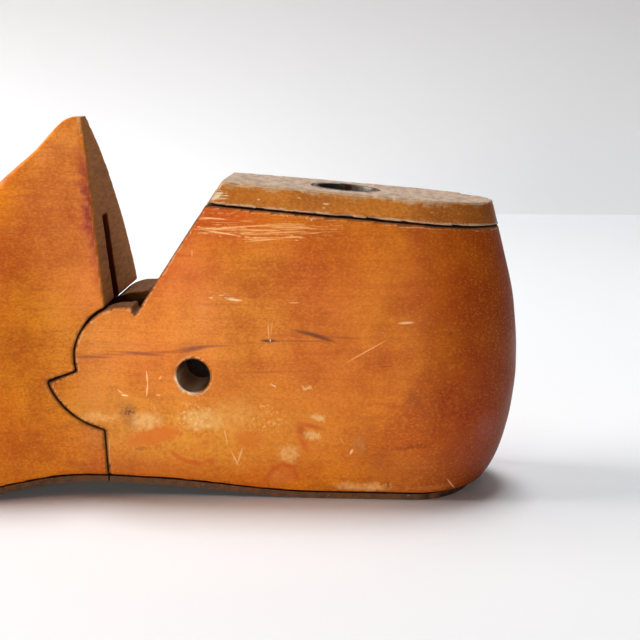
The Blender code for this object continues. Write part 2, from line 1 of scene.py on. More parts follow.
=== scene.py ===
"""Looks of a hinged shoe last: stained maple halves, a worn slab with a steel socket in it, iron
sole plates and the steel hinge that joins the halves.

Metres, +Z up, in the frame's own place: the toe points to -X and the inner side faces -Y.
"""

from __future__ import annotations

import json
import logging
import math
from dataclasses import dataclass, field
from enum import Enum
from functools import partial
from typing import Callable, Sequence

import bpy
import numpy as np
from bpy.types import Material, Node, NodeSocket, NodeTree, Object
from mathutils import Euler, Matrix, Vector

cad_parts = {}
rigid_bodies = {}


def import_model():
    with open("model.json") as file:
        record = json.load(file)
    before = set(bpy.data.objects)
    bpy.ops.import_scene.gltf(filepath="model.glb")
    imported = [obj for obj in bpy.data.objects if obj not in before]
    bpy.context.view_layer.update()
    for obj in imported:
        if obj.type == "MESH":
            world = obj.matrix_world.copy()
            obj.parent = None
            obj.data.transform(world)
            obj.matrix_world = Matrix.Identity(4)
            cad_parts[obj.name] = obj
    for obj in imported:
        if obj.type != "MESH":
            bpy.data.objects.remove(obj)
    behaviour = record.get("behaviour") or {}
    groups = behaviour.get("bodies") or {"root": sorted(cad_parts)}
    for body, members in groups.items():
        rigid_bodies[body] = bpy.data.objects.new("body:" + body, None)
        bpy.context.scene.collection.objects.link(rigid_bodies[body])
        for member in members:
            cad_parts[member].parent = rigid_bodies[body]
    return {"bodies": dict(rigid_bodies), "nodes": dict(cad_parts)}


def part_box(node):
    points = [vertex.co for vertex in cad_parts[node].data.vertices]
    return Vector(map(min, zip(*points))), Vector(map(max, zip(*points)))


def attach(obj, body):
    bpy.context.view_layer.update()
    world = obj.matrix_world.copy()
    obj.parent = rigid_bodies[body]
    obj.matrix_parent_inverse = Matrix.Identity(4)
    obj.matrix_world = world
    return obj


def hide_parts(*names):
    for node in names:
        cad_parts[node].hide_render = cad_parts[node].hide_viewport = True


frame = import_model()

MM = 0.001
Pairs = tuple[tuple[float, float], ...]
ACROSS = np.array([0.0, 1.0, 0.0])
UP = np.array([0.0, 0.0, 1.0])
WELD = 0.02 * MM
log = logging.getLogger("last")


# Colours and nodes

def linear(hex_colour: str) -> tuple[float, float, float, float]:
    """Turns an sRGB hex colour into the linear RGBA that a shader socket takes.

    Args:
        hex_colour: six hex digits after a #.

    Returns:
        Linear red, green, blue and an alpha of 1.
    """
    parts = np.array([int(hex_colour[k:k + 2], 16) / 255 for k in (1, 3, 5)])
    low = parts / 12.92
    high = ((parts + 0.055) / 1.055) ** 2.4
    red, green, blue = np.where(parts <= 0.04045, low, high)
    return float(red), float(green), float(blue), 1.0


def per(size_mm: float) -> float:
    """The noise scale, in 1/m, that gives features of about size_mm."""
    return 1.0 / (size_mm * MM)


def feed(tree: NodeTree, made: Node, values: dict) -> None:
    """Sets inputs, by name or number, to a plain value or to the socket that feeds them."""
    for key, value in values.items():
        if isinstance(value, NodeSocket):
            tree.links.new(value, made.inputs[key])
        else:
            made.inputs[key].default_value = value


def node(tree: NodeTree, kind: str, values: dict | None = None, **settings) -> Node:
    """Adds one shader node.

    Args:
        tree: the material's node tree.
        kind: the node's type after "ShaderNode".
        values: input name or number to a plain value, or to the socket that feeds it.
        settings: attributes of the node.

    Returns:
        The new node.
    """
    made = tree.nodes.new("ShaderNode" + kind)
    for name, value in settings.items():
        setattr(made, name, value)
    feed(tree, made, values or {})
    return made


@dataclass(frozen=True)
class Ramp:
    """Carries numbers from low..high to bottom..top, and holds them at the ends."""

    low: float
    high: float
    top: float = 1.0
    bottom: float = 0.0
    smooth: bool = False

    def of(self, tree: NodeTree, value: NodeSocket) -> NodeSocket:
        """The result for a number."""
        values = {"Value": value, "From Min": self.low, "From Max": self.high, "To Min": self.bottom,
                  "To Max": self.top}
        return node(tree, "MapRange", values,
                    interpolation_type="SMOOTHSTEP" if self.smooth else "LINEAR").outputs[0]


def mixed(tree: NodeTree, share: NodeSocket, under, over) -> NodeSocket:
    """A colour between two, each RGBA or a socket, with the second one's share."""
    return node(tree, "Mix", {0: share, 6: under, 7: over}, data_type="RGBA").outputs[2]


def maths(tree: NodeTree, operation: str, *values) -> NodeSocket:
    """One operation on numbers, each a plain value or a socket."""
    return node(tree, "Math", dict(enumerate(values)), operation=operation).outputs[0]


def stretched(tree: NodeTree, place: NodeSocket, sizes_mm: tuple[float, float, float],
              tilt: float = 0.0) -> NodeSocket:
    """Places turned by tilt degrees, in units of the given sizes along, across and up."""
    return node(tree, "Mapping", {
        "Vector": place, "Rotation": (0.0, math.radians(tilt), 0.0),
        "Scale": tuple(per(size) for size in sizes_mm)}).outputs[0]


def noise(tree: NodeTree, place: NodeSocket, scale: float = 1.0, detail: float = 2.0,
          rough: float = 0.5, bent: float = 0.0) -> NodeSocket:
    """Smooth random numbers round 0.5.

    Args:
        tree: the material's node tree.
        place: where they are read.
        scale: how many features fit in a unit of place.
        detail: how many finer octaves are added.
        rough: how strong the finer octaves are.
        bent: how far the pattern is distorted.

    Returns:
        The socket of the numbers.
    """
    values = {"Vector": place, "Scale": scale, "Detail": detail, "Roughness": rough, "Distortion": bent}
    return node(tree, "TexNoise", values).outputs["Fac"]


def layer(tree: NodeTree, name: str) -> NodeSocket:
    """The numbers kept on a mesh's points under a name."""
    return node(tree, "Attribute", attribute_name=name).outputs["Fac"]


def blank_material(name: str) -> tuple[Material, NodeTree, Node]:
    """A new material, its node tree and the shader in it."""
    made = bpy.data.materials.new(name)
    made.use_nodes = True
    return made, made.node_tree, made.node_tree.nodes["Principled BSDF"]


# Meshes from whole arrays

def grid_quads(rows: int, columns: int, wrap: bool) -> np.ndarray:
    """Quads of a grid of points numbered row by row.

    Args:
        rows: number of rows.
        columns: number of points in a row.
        wrap: True where the last point of a row meets the first.

    Returns:
        An (n, 4) array of point numbers.
    """
    row = np.arange(rows - 1)[:, None] * columns
    near = np.arange(columns if wrap else columns - 1)[None, :]
    far = (near + 1) % columns
    quads = np.stack([row + near, row + far, row + far + columns, row + near + columns], axis=-1)
    return quads.reshape(-1, 4)


def welded(points: np.ndarray, quads: np.ndarray, within: float) -> tuple[np.ndarray, np.ndarray]:
    """Joins points closer than a grid step and splits the quads into triangles without area.

    Args:
        points: (n, 3) places.
        quads: (m, 4) point numbers.
        within: the grid step, in metres.

    Returns:
        The points that are left and the triangles between them.
    """
    _, first, index = np.unique(
        np.round(points / within).astype(np.int64), axis=0, return_index=True, return_inverse=True
    )
    index = index.reshape(-1)[quads]
    triangles = np.concatenate([index[:, [0, 1, 2]], index[:, [0, 2, 3]]])
    a, b, c = triangles.T
    return points[first], triangles[(a != b) & (b != c) & (a != c)]


def put_mesh(name: str, points: np.ndarray, faces: Sequence[Sequence[int]]) -> Object:
    """A new smooth-shaded object in the scene.

    Args:
        name: the piece's name.
        points: (n, 3) places in metres.
        faces: point numbers of each face.

    Returns:
        The object, at the origin.
    """
    mesh = bpy.data.meshes.new(name)
    mesh.from_pydata(np.asarray(points, float).tolist(), [], [list(face) for face in faces])
    mesh.validate()
    mesh.shade_smooth()
    obj = bpy.data.objects.new(name, mesh)
    bpy.context.scene.collection.objects.link(obj)
    return obj


def carve(body: Object, operation: str, solids: Sequence[Object]) -> None:
    """Adds one Boolean step for each solid.

    Args:
        body: the object to carve.
        operation: "INTERSECT" keeps what lies in the solid, "DIFFERENCE" takes that away.
        solids: closed objects.
    """
    for solid in solids:
        step = body.modifiers.new(solid.name, "BOOLEAN")
        step.operation = operation
        step.solver = "MANIFOLD"
        step.object = solid


def finished_mesh(obj: Object, name: str, helpers: Sequence[Object]) -> Object:
    """Replaces an object by one that holds its mesh with every modifier applied.

    Args:
        obj: the object with its modifiers.
        name: the new piece's name.
        helpers: the solids it was carved with, which go too.

    Returns:
        The new object.
    """
    graph = bpy.context.evaluated_depsgraph_get()
    mesh = bpy.data.meshes.new_from_object(obj.evaluated_get(graph))
    mesh.name = name
    for spent in (obj, *helpers):
        bpy.data.objects.remove(spent, do_unlink=True)
    made = bpy.data.objects.new(name, mesh)
    bpy.context.scene.collection.objects.link(made)
    return made


def mesh_points(obj: Object, what: str = "co") -> np.ndarray:
    """Places or normals of an object's points, as (n, 3)."""
    values = np.empty(len(obj.data.vertices) * 3)
    source = obj.data.vertices if what == "co" else obj.data.vertex_normals
    source.foreach_get("co" if what == "co" else "vector", values)
    return values.reshape(-1, 3)


def ring_round(axis: np.ndarray, around: int) -> np.ndarray:
    """Unit vectors square to an axis, one for each of so many even turns about it, as (around, 3)."""
    flat = np.cross(axis, [1.0, 0.0, 0.0] if abs(axis[0]) < 0.9 else [0.0, 1.0, 0.0])
    flat = flat / np.linalg.norm(flat)
    turn = np.linspace(0, 2 * math.pi, around, endpoint=False)[:, None]
    return np.cos(turn) * flat + np.sin(turn) * np.cross(axis, flat)


def set_points(obj: Object, points: np.ndarray) -> None:
    """Writes new places into an object's points."""
    obj.data.vertices.foreach_set("co", points.reshape(-1).astype(np.float32))
    obj.data.update()


def set_layer(obj: Object, name: str, values: np.ndarray) -> None:
    """Keeps one number per point under a name that the materials read."""
    layer = obj.data.attributes.new(name, "FLOAT", "POINT")
    layer.data.foreach_set("value", values.astype(np.float32))


def mesh_edges(obj: Object) -> np.ndarray:
    """The two point numbers of each edge."""
    ends = np.empty(len(obj.data.edges) * 2, np.int32)
    obj.data.edges.foreach_get("vertices", ends)
    return ends.reshape(-1, 2)


def relaxed(values: np.ndarray, edges: np.ndarray, rounds: int, pull: np.ndarray | float = 0.5) -> np.ndarray:
    """Draws each point's values towards the mean of its neighbours'.

    Args:
        values: (n,) or (n, k) numbers on the points.
        edges: the mesh's edges.
        rounds: how many times.
        pull: share of the way to the mean, for all points or for each.

    Returns:
        The evened values.
    """
    flat = values.reshape(len(values), -1).astype(float)
    both = np.concatenate([edges, edges[:, ::-1]])
    count = np.maximum(np.bincount(both[:, 0], minlength=len(flat)), 1)
    share = np.broadcast_to(np.asarray(pull, float), (len(flat),))
    for _ in range(rounds):
        for k in range(flat.shape[1]):
            total = np.bincount(both[:, 0], flat[both[:, 1], k], len(flat))
            flat[:, k] += share * (total / count - flat[:, k])
    return flat.reshape(values.shape)


def ripple(points: np.ndarray, size: float, seed: int, waves: int = 9) -> np.ndarray:
    """A smooth random field: the mean of sine waves in random directions.

    Args:
        points: (n, 3) places.
        size: about how far apart the field's hills lie, in metres.
        seed: picks the waves.
        waves: how many are summed.

    Returns:
        Numbers mostly between -1 and 1, one per point.
    """
    draw = np.random.default_rng(seed)
    ways = draw.normal(size=(waves, 3))
    ways /= np.linalg.norm(ways, axis=1, keepdims=True)
    turns = 2 * math.pi / (size * draw.uniform(0.6, 1.6, waves))
    phase = draw.uniform(0, 2 * math.pi, waves)
    total = sum(np.sin(points @ way * turn + start) for way, turn, start in zip(ways, turns, phase))
    return total / math.sqrt(waves / 2) / 2


def smooth_step(values: np.ndarray, low: float, high: float) -> np.ndarray:
    """0 below low, 1 above high, and an S curve between."""
    t = np.clip((values - low) / (high - low), 0, 1)
    return t * t * (3 - 2 * t)


# The last's own form

@dataclass(frozen=True)
class Curve:
    """A smooth curve through (place, value) points that never overshoots them.

    Between two points it is a cubic. Its slope at a point is the harmonic mean of the slopes on
    both sides, and level where they differ in sign.
    """

    points: Pairs

    def __call__(self, place: np.ndarray | float) -> np.ndarray:
        """The curve's values at the given places."""
        places, values = np.array(self.points, float).T
        widths = np.diff(places)
        slopes = np.diff(values) / widths
        ends = np.concatenate([slopes[:1], slopes, slopes[-1:]])
        before, after = ends[:-1], ends[1:]
        same_way = before * after > 0
        total = np.where(same_way, before + after, 1.0)
        tangents = np.where(same_way, 2 * before * after / total, 0.0)
        place = np.clip(place, places[0], places[-1])
        k = np.clip(np.searchsorted(places, place) - 1, 0, len(widths) - 1)
        t = (place - places[k]) / widths[k]
        rise = values[k + 1] - values[k]
        start, end = tangents[k] * widths[k], tangents[k + 1] * widths[k]
        return values[k] + t * (start + t * (3 * rise - 2 * start - end + t * (start + end - 2 * rise)))


def curve(*points: tuple[float, float]) -> Curve:
    """A Curve whose values are given in millimetres."""
    return Curve(tuple((place, value * MM) for place, value in points))


@dataclass
class LastForm:
    """The wooden body before it is cut in two: smooth sections from the toe to the heel.

    Each section is a closed loop of two cubic Bezier sides, from the sole up to a flat ridge. Round
    the toe and the heel the sections turn about an upright line and narrow with the turn's cosine.
    """

    fore_length: float = 120.0 * MM
    heel_length: float = 106.0 * MM
    toe_round: float = 42.0 * MM
    heel_round: float = 27.0 * MM
    peak_height: float = 100.5
    heel_front_height: float = 83.9
    top_reach: float = 8.0
    toe_height: float = 31.0
    arch_rise: float = 3.4
    toe_spring: float = 8.0
    ball_width: float = 77.0
    waist_width: float = 38.0
    seat_width: float = 43.0
    heel_bulge: float = 3.6
    top_width: float = 25.0
    ridge_side: float = -10.6
    toe_side: float = -9.0 * MM
    toe_bluntness: float = 0.8
    wood_lift: float = 1.9 * MM
    middle: float = 0.0
    curves: dict[str, Curve] = field(default_factory=dict)

    def __post_init__(self) -> None:
        """Draws the curves that say how the section changes along the foot, in mm from the sizes."""
        top = self.heel_front_height + self.top_reach
        ball, waist, seat, bulge = self.ball_width, self.waist_width, self.seat_width, self.heel_bulge
        self.curves = {
            "underside": curve(
                (-1.0, self.toe_spring), (-0.85, 0.4 * self.toe_spring), (-0.6, 0.0), (-0.42, 0.0),
                (-0.1, self.arch_rise), (0.1, 0.85 * self.arch_rise), (0.5, 0.0), (0.85, 0.0), (1.0, 0.3)),
            "ridge": curve(
                (-1.0, self.toe_height - 4), (-0.88, self.toe_height), (-0.7, self.toe_height + 12),
                (-0.45, 0.5 * (self.toe_height + self.peak_height)), (-0.2, self.peak_height - 10),
                (-0.1, self.peak_height), (-0.04, self.peak_height), (0.25, top), (1.0, top)),
            "ridge_y": curve((-1.0, self.toe_side / MM), (-0.6, -6), (-0.1, self.ridge_side), (0.25, 0),
                             (1.0, 0)),
            "ridge_half": curve((-1.0, 5), (-0.5, 4), (-0.1, 2.6), (0.25, 0.40 * self.top_width),
                                (0.5, 0.46 * self.top_width), (1.0, 0.40 * self.top_width)),
            "inner_sole": curve((-1.0, -0.42 * ball), (-0.72, -0.45 * ball), (-0.5, -0.47 * ball),
                                (-0.05, -0.55 * waist), (0.3, -0.50 * seat), (0.8, -0.50 * seat),
                                (1.0, -0.48 * seat)),
            "outer_sole": curve((-1.0, 0.30 * ball), (-0.72, 0.40 * ball), (-0.5, 0.47 * ball),
                                (-0.05, 0.53 * waist), (0.3, 0.50 * seat), (0.8, 0.50 * seat),
                                (1.0, 0.48 * seat)),
            "inner_swell": curve((-1.0, 2), (-0.5, 2), (-0.1, 1), (0.3, 1.8 * bulge), (1.0, 1.8 * bulge)),
            "outer_swell": curve((-1.0, 2), (-0.5, 2), (-0.1, 26), (0.3, 2.0 * bulge), (1.0, 1.8 * bulge)),
            "swell_lift": curve((-1.0, 7), (-0.5, 15), (-0.1, 28), (1.0, 30)),
            "inner_shoulder": curve((-1.0, -25), (-0.5, -26), (-0.1, -11), (0.25, -20), (1.0, -19)),
            "outer_shoulder": curve((-1.0, 15), (-0.5, 22), (-0.1, 24), (0.25, 19), (1.0, 19)),
            "inner_drop": curve((-1.0, 1), (-0.5, -1), (-0.1, 12), (0.25, 20), (1.0, 26)),
            "outer_drop": curve((-1.0, 1), (-0.5, 1), (-0.1, 23), (0.25, 20), (1.0, 26)),
            "heel_inset": Curve(tuple((z * MM, inset * MM) for z, inset in (
                (0, 11.0), (2.5, 8.4), (7, 5.4), (14, 2.8), (22, 1.1), (33, 0), (38, 0), (50, 1.0), (63, 3.7),
                (77, 7.3), (95, 12.5)))),
            "toe_inset": curve((0.0, 2.2), (0.35, 0), (0.5, 0), (0.8, 5), (1.0, 15)),
        }
        skin = self.skin(rows=(11, 27, 10), columns=28)[..., 1]
        self.middle = float(skin.min() + skin.max()) / 2

    @property
    def toe_x(self) -> float:
        """The toe's tip."""
        return -(self.fore_length + self.heel_length) / 2

    @property
    def heel_x(self) -> float:
        """The back of the heel."""
        return (self.fore_length + self.heel_length) / 2

    @property
    def pivot_x(self) -> float:
        """The hinge pin's place along the foot."""
        return self.toe_x + self.fore_length

    def share(self, x: np.ndarray | float) -> np.ndarray:
        """Where x lies along the foot: -1 at the toe, 0 at the hinge pin, 1 at the back of the heel."""
        from_pivot = np.asarray(x) - self.pivot_x
        return np.where(from_pivot < 0, from_pivot / self.fore_length, from_pivot / self.heel_length)

    def side(self, x: np.ndarray, way: str) -> tuple[list[np.ndarray], list[np.ndarray]]:
        """Bezier control points of one side of the sections at x.

        Args:
            x: (n,) places along the foot.
            way: "inner" or "outer".

        Returns:
            Four (n,) arrays of y and four of z, from the sole up to the ridge.
        """
        u = self.share(x)
        sign = -1 if way == "inner" else 1
        at = {name: shape(u) for name, shape in self.curves.items()}
        sole_z = at["underside"] + self.wood_lift
        y = [
            at[way + "_sole"], at[way + "_sole"] + sign * at[way + "_swell"], at[way + "_shoulder"],
            at["ridge_y"] + sign * at["ridge_half"],
        ]
        z = [sole_z, sole_z + at["swell_lift"], at["ridge"] - at[way + "_drop"], at["ridge"]]
        return y, z

    def stations(self, rows: tuple[int, int, int]) -> tuple[np.ndarray, np.ndarray]:
        """Place and turn of each section, for so many round the toe, along the middle and round the heel."""
        toe_start, heel_start = self.toe_x + self.toe_round, self.heel_x - self.heel_round
        toe, middle, heel = rows
        x = np.concatenate([
            np.full(toe - 1, toe_start), np.linspace(toe_start, heel_start, middle),
            np.full(heel - 1, heel_start)])
        turn = np.concatenate([
            -np.linspace(math.pi / 2, 0, toe)[:-1], np.zeros(middle),
            np.linspace(0, math.pi / 2, heel)[1:]])
        return x, turn

    def skin(self, rows: tuple[int, int, int], columns: int) -> np.ndarray:
        """The body's surface: inner side up to the ridge, then down the outer side.

        A point is the Bezier mix (1-t)^3 a + 3(1-t)^2 t b + 3(1-t) t^2 c + t^3 d of its section's
        control points. Round an end, its place along the foot is the end's reach, less an inset that
        varies with height, times the sine of the turn.

        Args:
            rows: sections round the toe, along the middle and round the heel.
            columns: points round a section.

        Returns:
            (sections, columns, 3) places.
        """
        x, turn = self.stations(rows)
        sine, cosine = np.sin(turn), np.maximum(np.cos(turn), 0.0)
        heel, toe = turn > 0, turn < 0
        reach = np.where(heel, self.heel_round, self.toe_round)
        centre = np.where(heel, 0.0, self.toe_side)[:, None]
        narrowing = np.where(heel, cosine, cosine ** self.toe_bluntness)[:, None]
        t = np.linspace(0, 1, columns // 2)[None, :]
        weights = [(1 - t) ** 3, 3 * (1 - t) ** 2 * t, 3 * (1 - t) * t ** 2, t ** 3]
        sides = []
        for way in ("inner", "outer"):
            y, z = self.side(x + reach * sine, way)
            y = sum(part[:, None] * weight for part, weight in zip(y, weights))
            z = sum(part[:, None] * weight for part, weight in zip(z, weights))
            inset = np.where(heel[:, None], self.curves["heel_inset"](z), self.curves["toe_inset"](t + 0 * z))
            inset = np.where((heel | toe)[:, None], inset, 0.0)
            along = x[:, None] + (reach[:, None] - inset) * sine[:, None]
            sides.append(np.stack([along, centre + (y - centre) * narrowing - self.middle, z], axis=-1))
        return np.concatenate([sides[0], sides[1][:, ::-1]], axis=1)

    def solid(self, name: str) -> Object:
        """The body as one closed object, fine enough to look smooth when it is carved."""
        points = self.skin(rows=(60, 240, 60), columns=160)
        rows, columns = points.shape[:2]
        flat, triangles = welded(points.reshape(-1, 3), grid_quads(rows, columns, wrap=True), WELD)
        return put_mesh(name, flat, facing_out(flat, triangles))

    def sole_rows(self, rows: tuple[int, int, int], across: int, inset: float, end_inset: float) -> np.ndarray:
        """The sheet between the two edges of the sole.

        Args:
            rows: sections round the toe, along the middle and round the heel.
            across: points across the foot.
            inset: how far the sheet is drawn in all round.
            end_inset: how much more at the heel's end.

        Returns:
            Points as (rows, across, 3), flat at z 0.
        """
        x, turn = self.stations(rows)
        edges = self.skin(rows, 4)[:, [0, -1]]
        share = np.linspace(0, 1, across)[None, :, None]
        sheet = edges[:, :1] + (edges[:, 1:] - edges[:, :1]) * share
        toe_start, heel_start = self.toe_x + self.toe_round, self.heel_x - self.heel_round
        centre_x = np.where(turn < 0, toe_start, np.where(turn > 0, heel_start, x))
        middle = np.stack([centre_x, sheet[..., 1].mean(axis=1), np.zeros_like(x)], axis=-1)[:, None, :]
        out = (sheet - middle) * [1.0, 1.0, 0.0]
        size = np.linalg.norm(out, axis=2, keepdims=True)
        inwards = (inset + end_inset * np.clip(np.sin(turn), 0, 1))[:, None, None]
        sheet = sheet - out * inwards / np.maximum(size, inwards)
        sheet[..., 2] = 0.0
        return sheet


# What is cut from the body, each with its mesh and its distance

def outline_distance(x: np.ndarray, z: np.ndarray, outline: Sequence[tuple[float, float]]) -> np.ndarray:
    """Signed distance of points to a closed outline in the XZ plane, negative inside.

    Args:
        x: places along the foot.
        z: heights.
        outline: the corners in order.

    Returns:
        One distance per point.
    """
    nearest = np.full(x.shape, np.inf)
    inside = np.zeros(x.shape, bool)
    corners = list(outline)
    for (ax, az), (bx, bz) in zip(corners, corners[1:] + corners[:1]):
        ex, ez = bx - ax, bz - az
        t = np.clip(((x - ax) * ex + (z - az) * ez) / max(ex * ex + ez * ez, 1e-18), 0, 1)
        nearest = np.minimum(nearest, np.hypot(x - ax - t * ex, z - az - t * ez))
        if az != bz:
            inside ^= ((az > z) != (bz > z)) & (x < ex * (z - az) / ez + ax)
    return np.where(inside, -nearest, nearest)


@dataclass(frozen=True)
class Prism:
    """An outline in the XZ plane carried straight across the foot."""

    outline: Pairs
    side: float = 0.0
    half: float = 0.2

    def mesh(self, name: str) -> Object:
        """The prism as a closed object."""
        x, z = np.array(self.outline).T
        if np.sum(x * np.roll(z, -1) - np.roll(x, -1) * z) < 0:
            x, z = x[::-1], z[::-1]
        count = len(x)
        near = np.stack([x, np.full(count, self.side - self.half), z], axis=-1)
        ring = np.arange(count)
        following = (ring + 1) % count
        sides = np.stack([following, ring, ring + count, following + count], axis=-1)
        faces = [ring.tolist(), (ring[::-1] + count).tolist()] + sides.tolist()
        return put_mesh(name, np.concatenate([near, near + [0, 2 * self.half, 0]]), faces)

    def distance(self, points: np.ndarray) -> np.ndarray:
        """Signed distance of each point to the prism's surface, negative inside."""
        flat = outline_distance(points[:, 0], points[:, 2], self.outline)
        return np.maximum(flat, np.abs(points[:, 1] - self.side) - self.half)


@dataclass(frozen=True)
class Bore:
    """A round hole: a cylinder from start towards axis."""

    start: tuple[float, float, float]
    axis: tuple[float, float, float]
    radius: float
    length: float
    sides: int = 48

    def mesh(self, name: str) -> Object:
        """The cylinder: points at radius times the cosine and sine of the turn, at both ends."""
        way = np.array(self.axis) / np.linalg.norm(self.axis)
        ring = np.array(self.start) + self.radius * ring_round(way, self.sides)
        count = self.sides
        numbers = np.arange(count)
        following = (numbers + 1) % count
        sides = np.stack([numbers, following, following + count, numbers + count], axis=-1)
        faces = [list(numbers[::-1]), list(numbers + count)] + sides.tolist()
        return put_mesh(name, np.concatenate([ring, ring + way * self.length]), faces)

    def distance(self, points: np.ndarray) -> np.ndarray:
        """Signed distance of each point to the cylinder's surface, negative inside."""
        way = np.array(self.axis) / np.linalg.norm(self.axis)
        from_start = points - np.array(self.start)
        along = from_start @ way
        radial = np.linalg.norm(from_start - along[:, None] * way, axis=1)
        return np.maximum(radial - self.radius, np.abs(along - self.length / 2) - self.length / 2)


@dataclass
class JointForm:
    """Outlines of the stepped joint, the slab and the holes, as (x, z) corners round the hinge pin."""

    form: LastForm
    pivot_z: float = 37.7 * MM
    tongue_radius: float = 12.3 * MM
    tongue_step: float = 7.9 * MM
    step_angle: float = math.radians(198)
    tooth_radius: float = 14.0 * MM
    tooth_angle: float = math.radians(76.8)
    shoulder: Pairs = (
        (82.6, 13.3), (95, 13.1), (107.6, 12.85), (122.6, 12.55), (135, 12.3))
    gap: float = 0.38 * MM
    mouth_gap: float = 1.3 * MM
    mouth_sweep: float = math.radians(40)
    fore_face: float = math.radians(96.6)
    heel_face: float = math.radians(57.0)
    face_offset: float = 2.6 * MM
    lip_inset: float = 4.3 * MM
    lip_lean: float = 1.0 * MM
    slab_thickness: float = 6.0 * MM
    slab_slope: float = math.radians(-4.8)
    slab_seam: float = 0.5 * MM
    far: float = 0.4

    def arc(self, radius: float, start: float, end: float, steps: int = 48,
            end_radius: float | None = None) -> list[tuple[float, float]]:
        """Points round the pin, drawing in evenly to end_radius where one is given."""
        angles = np.linspace(start, end, steps)
        radii = np.linspace(radius, end_radius or radius, steps)
        x = self.form.pivot_x + radii * np.cos(angles)
        z = self.pivot_z + radii * np.sin(angles)
        return list(zip(x.tolist(), z.tolist()))

    def face_point(self, angle: float, along: float) -> tuple[float, float]:
        """A point on a V face, face_offset to the left of the pin's own line at that angle."""
        x = self.form.pivot_x + along * math.cos(angle) - self.face_offset * math.sin(angle)
        return x, self.pivot_z + along * math.sin(angle) + self.face_offset * math.cos(angle)

    def lip_x(self, z: float) -> float:
        """Front face of the heel's foot, leaning back from the tongue down to the sole."""
        top = self.pivot_z - self.tongue_radius - self.tongue_step
        return self.form.pivot_x - self.lip_inset + self.lip_lean * (top - z) / top

    def face_at(self, height_at: Callable[[float], float]) -> tuple[float, float]:
        """Where the heel's sloping face meets the line height_at."""
        along = self.form.peak_height * MM
        for _ in range(40):
            x, z = self.face_point(self.heel_face, along)
            along += height_at(x) - z
        return self.face_point(self.heel_face, along)

    @property
    def slab_front(self) -> float:
        """Where the slab's top meets the heel's sloping face."""
        return self.face_at(lambda x: self.form.heel_front_height * MM)[0]

    def slab_top(self, x: float) -> float:
        """Height of the slab's top."""
        return self.form.heel_front_height * MM + (x - self.slab_front) * math.tan(self.slab_slope)

    def slab_bottom(self, x: float) -> float:
        """Height of the slab's underside."""
        return self.slab_top(x) - self.slab_thickness / math.cos(self.slab_slope)

    def block_top(self, x: float) -> float:
        """Height of the block under the slab."""
        return self.slab_bottom(x) - self.slab_seam

    def fore(self) -> Pairs:
        """Outline of all that belongs to the forepart."""
        radius = self.tongue_radius + self.gap
        low_radius = radius + self.tongue_step
        mouth = self.tongue_radius + self.mouth_gap
        meet = self.fore_face + math.asin(self.face_offset / mouth)
        lip_angle = math.pi + math.acos((self.lip_inset + self.gap) / low_radius)
        narrow = meet + self.mouth_sweep
        high = self.arc(mouth, meet, narrow, 24, radius) + self.arc(radius, narrow, self.step_angle)[1:]
        low = self.arc(low_radius, self.step_angle, lip_angle)
        top = self.face_point(self.fore_face, self.far)
        foot = (self.lip_x(-self.far) - self.gap, -self.far)
        return (top, *high, *low, foot, (-self.far, -self.far), (-self.far, top[1]))

    def heel(self) -> Pairs:
        """Outline of the heel half below the slab."""
        low_radius = self.tongue_radius + self.tongue_step
        lip_angle = math.pi + math.acos(self.lip_inset / low_radius)
        step = self.step_angle + self.gap / self.tongue_radius
        tooth = self.arc(self.tooth_radius, self.tooth_angle, self.tooth_angle, 1)
        high = []
        for (angle, radius), (end, end_radius) in zip(self.shoulder, self.shoulder[1:]):
            piece = self.arc(radius * MM, math.radians(angle), math.radians(end), 7, end_radius * MM)
            high += piece[:-1]
        high += self.arc(self.tongue_radius, math.radians(self.shoulder[-1][0]), step)
        low = self.arc(low_radius, step, lip_angle)
        notch = self.face_point(self.heel_face, self.tooth_radius - self.face_offset)
        back = (self.far, self.block_top(self.far))
        front = self.face_at(self.block_top)
        foot = (self.lip_x(-self.far), -self.far)
        return (*tooth, *high, *low, foot, (self.far, -self.far), back, front, notch)

    def slab(self) -> Pairs:
        """Outline of the slab."""
        low, high = self.face_at(self.slab_bottom), self.face_at(self.slab_top)
        return low, (self.far, self.slab_bottom(self.far)), (self.far, self.slab_top(self.far)), high


# Finishes

class MarkKind(Enum):
    """How a mark fills its outline."""

    SOLID = "solid"
    STREAKS = "streaks"
    SPECKS = "specks"
    SCRATCH = "scratch"


@dataclass(frozen=True)
class Mark:
    """One stain, rub, chip, patch of scratches, painted highlight or painted reflection on the inner side: an
    ellipse in the XZ plane, in mm.
    """

    x: float
    z: float
    half_length: float
    half_height: float
    colour: str
    strength: float = 1.0
    tilt: float = 0.0
    softness: float = 0.5
    kind: MarkKind = MarkKind.SOLID

    def inside(self, tree: NodeTree, place: NodeSocket) -> NodeSocket:
        """The mark's strength within its outline, fading to nothing across its edge."""
        own = node(tree, "Mapping", {
            "Vector": place, "Location": (self.x * MM, 0.0, self.z * MM),
            "Rotation": (0.0, -math.radians(self.tilt), 0.0),
            "Scale": (self.half_length * MM, MARK_DEPTH, self.half_height * MM)}, vector_type="TEXTURE")
        reach = node(tree, "VectorMath", {0: own.outputs[0]}, operation="LENGTH").outputs["Value"]
        return Ramp(1 + self.softness, 1 - self.softness, self.strength, smooth=True).of(tree, reach)


scratch, specks, streaks = (
    partial(Mark, kind=kind) for kind in (MarkKind.SCRATCH, MarkKind.SPECKS, MarkKind.STREAKS))

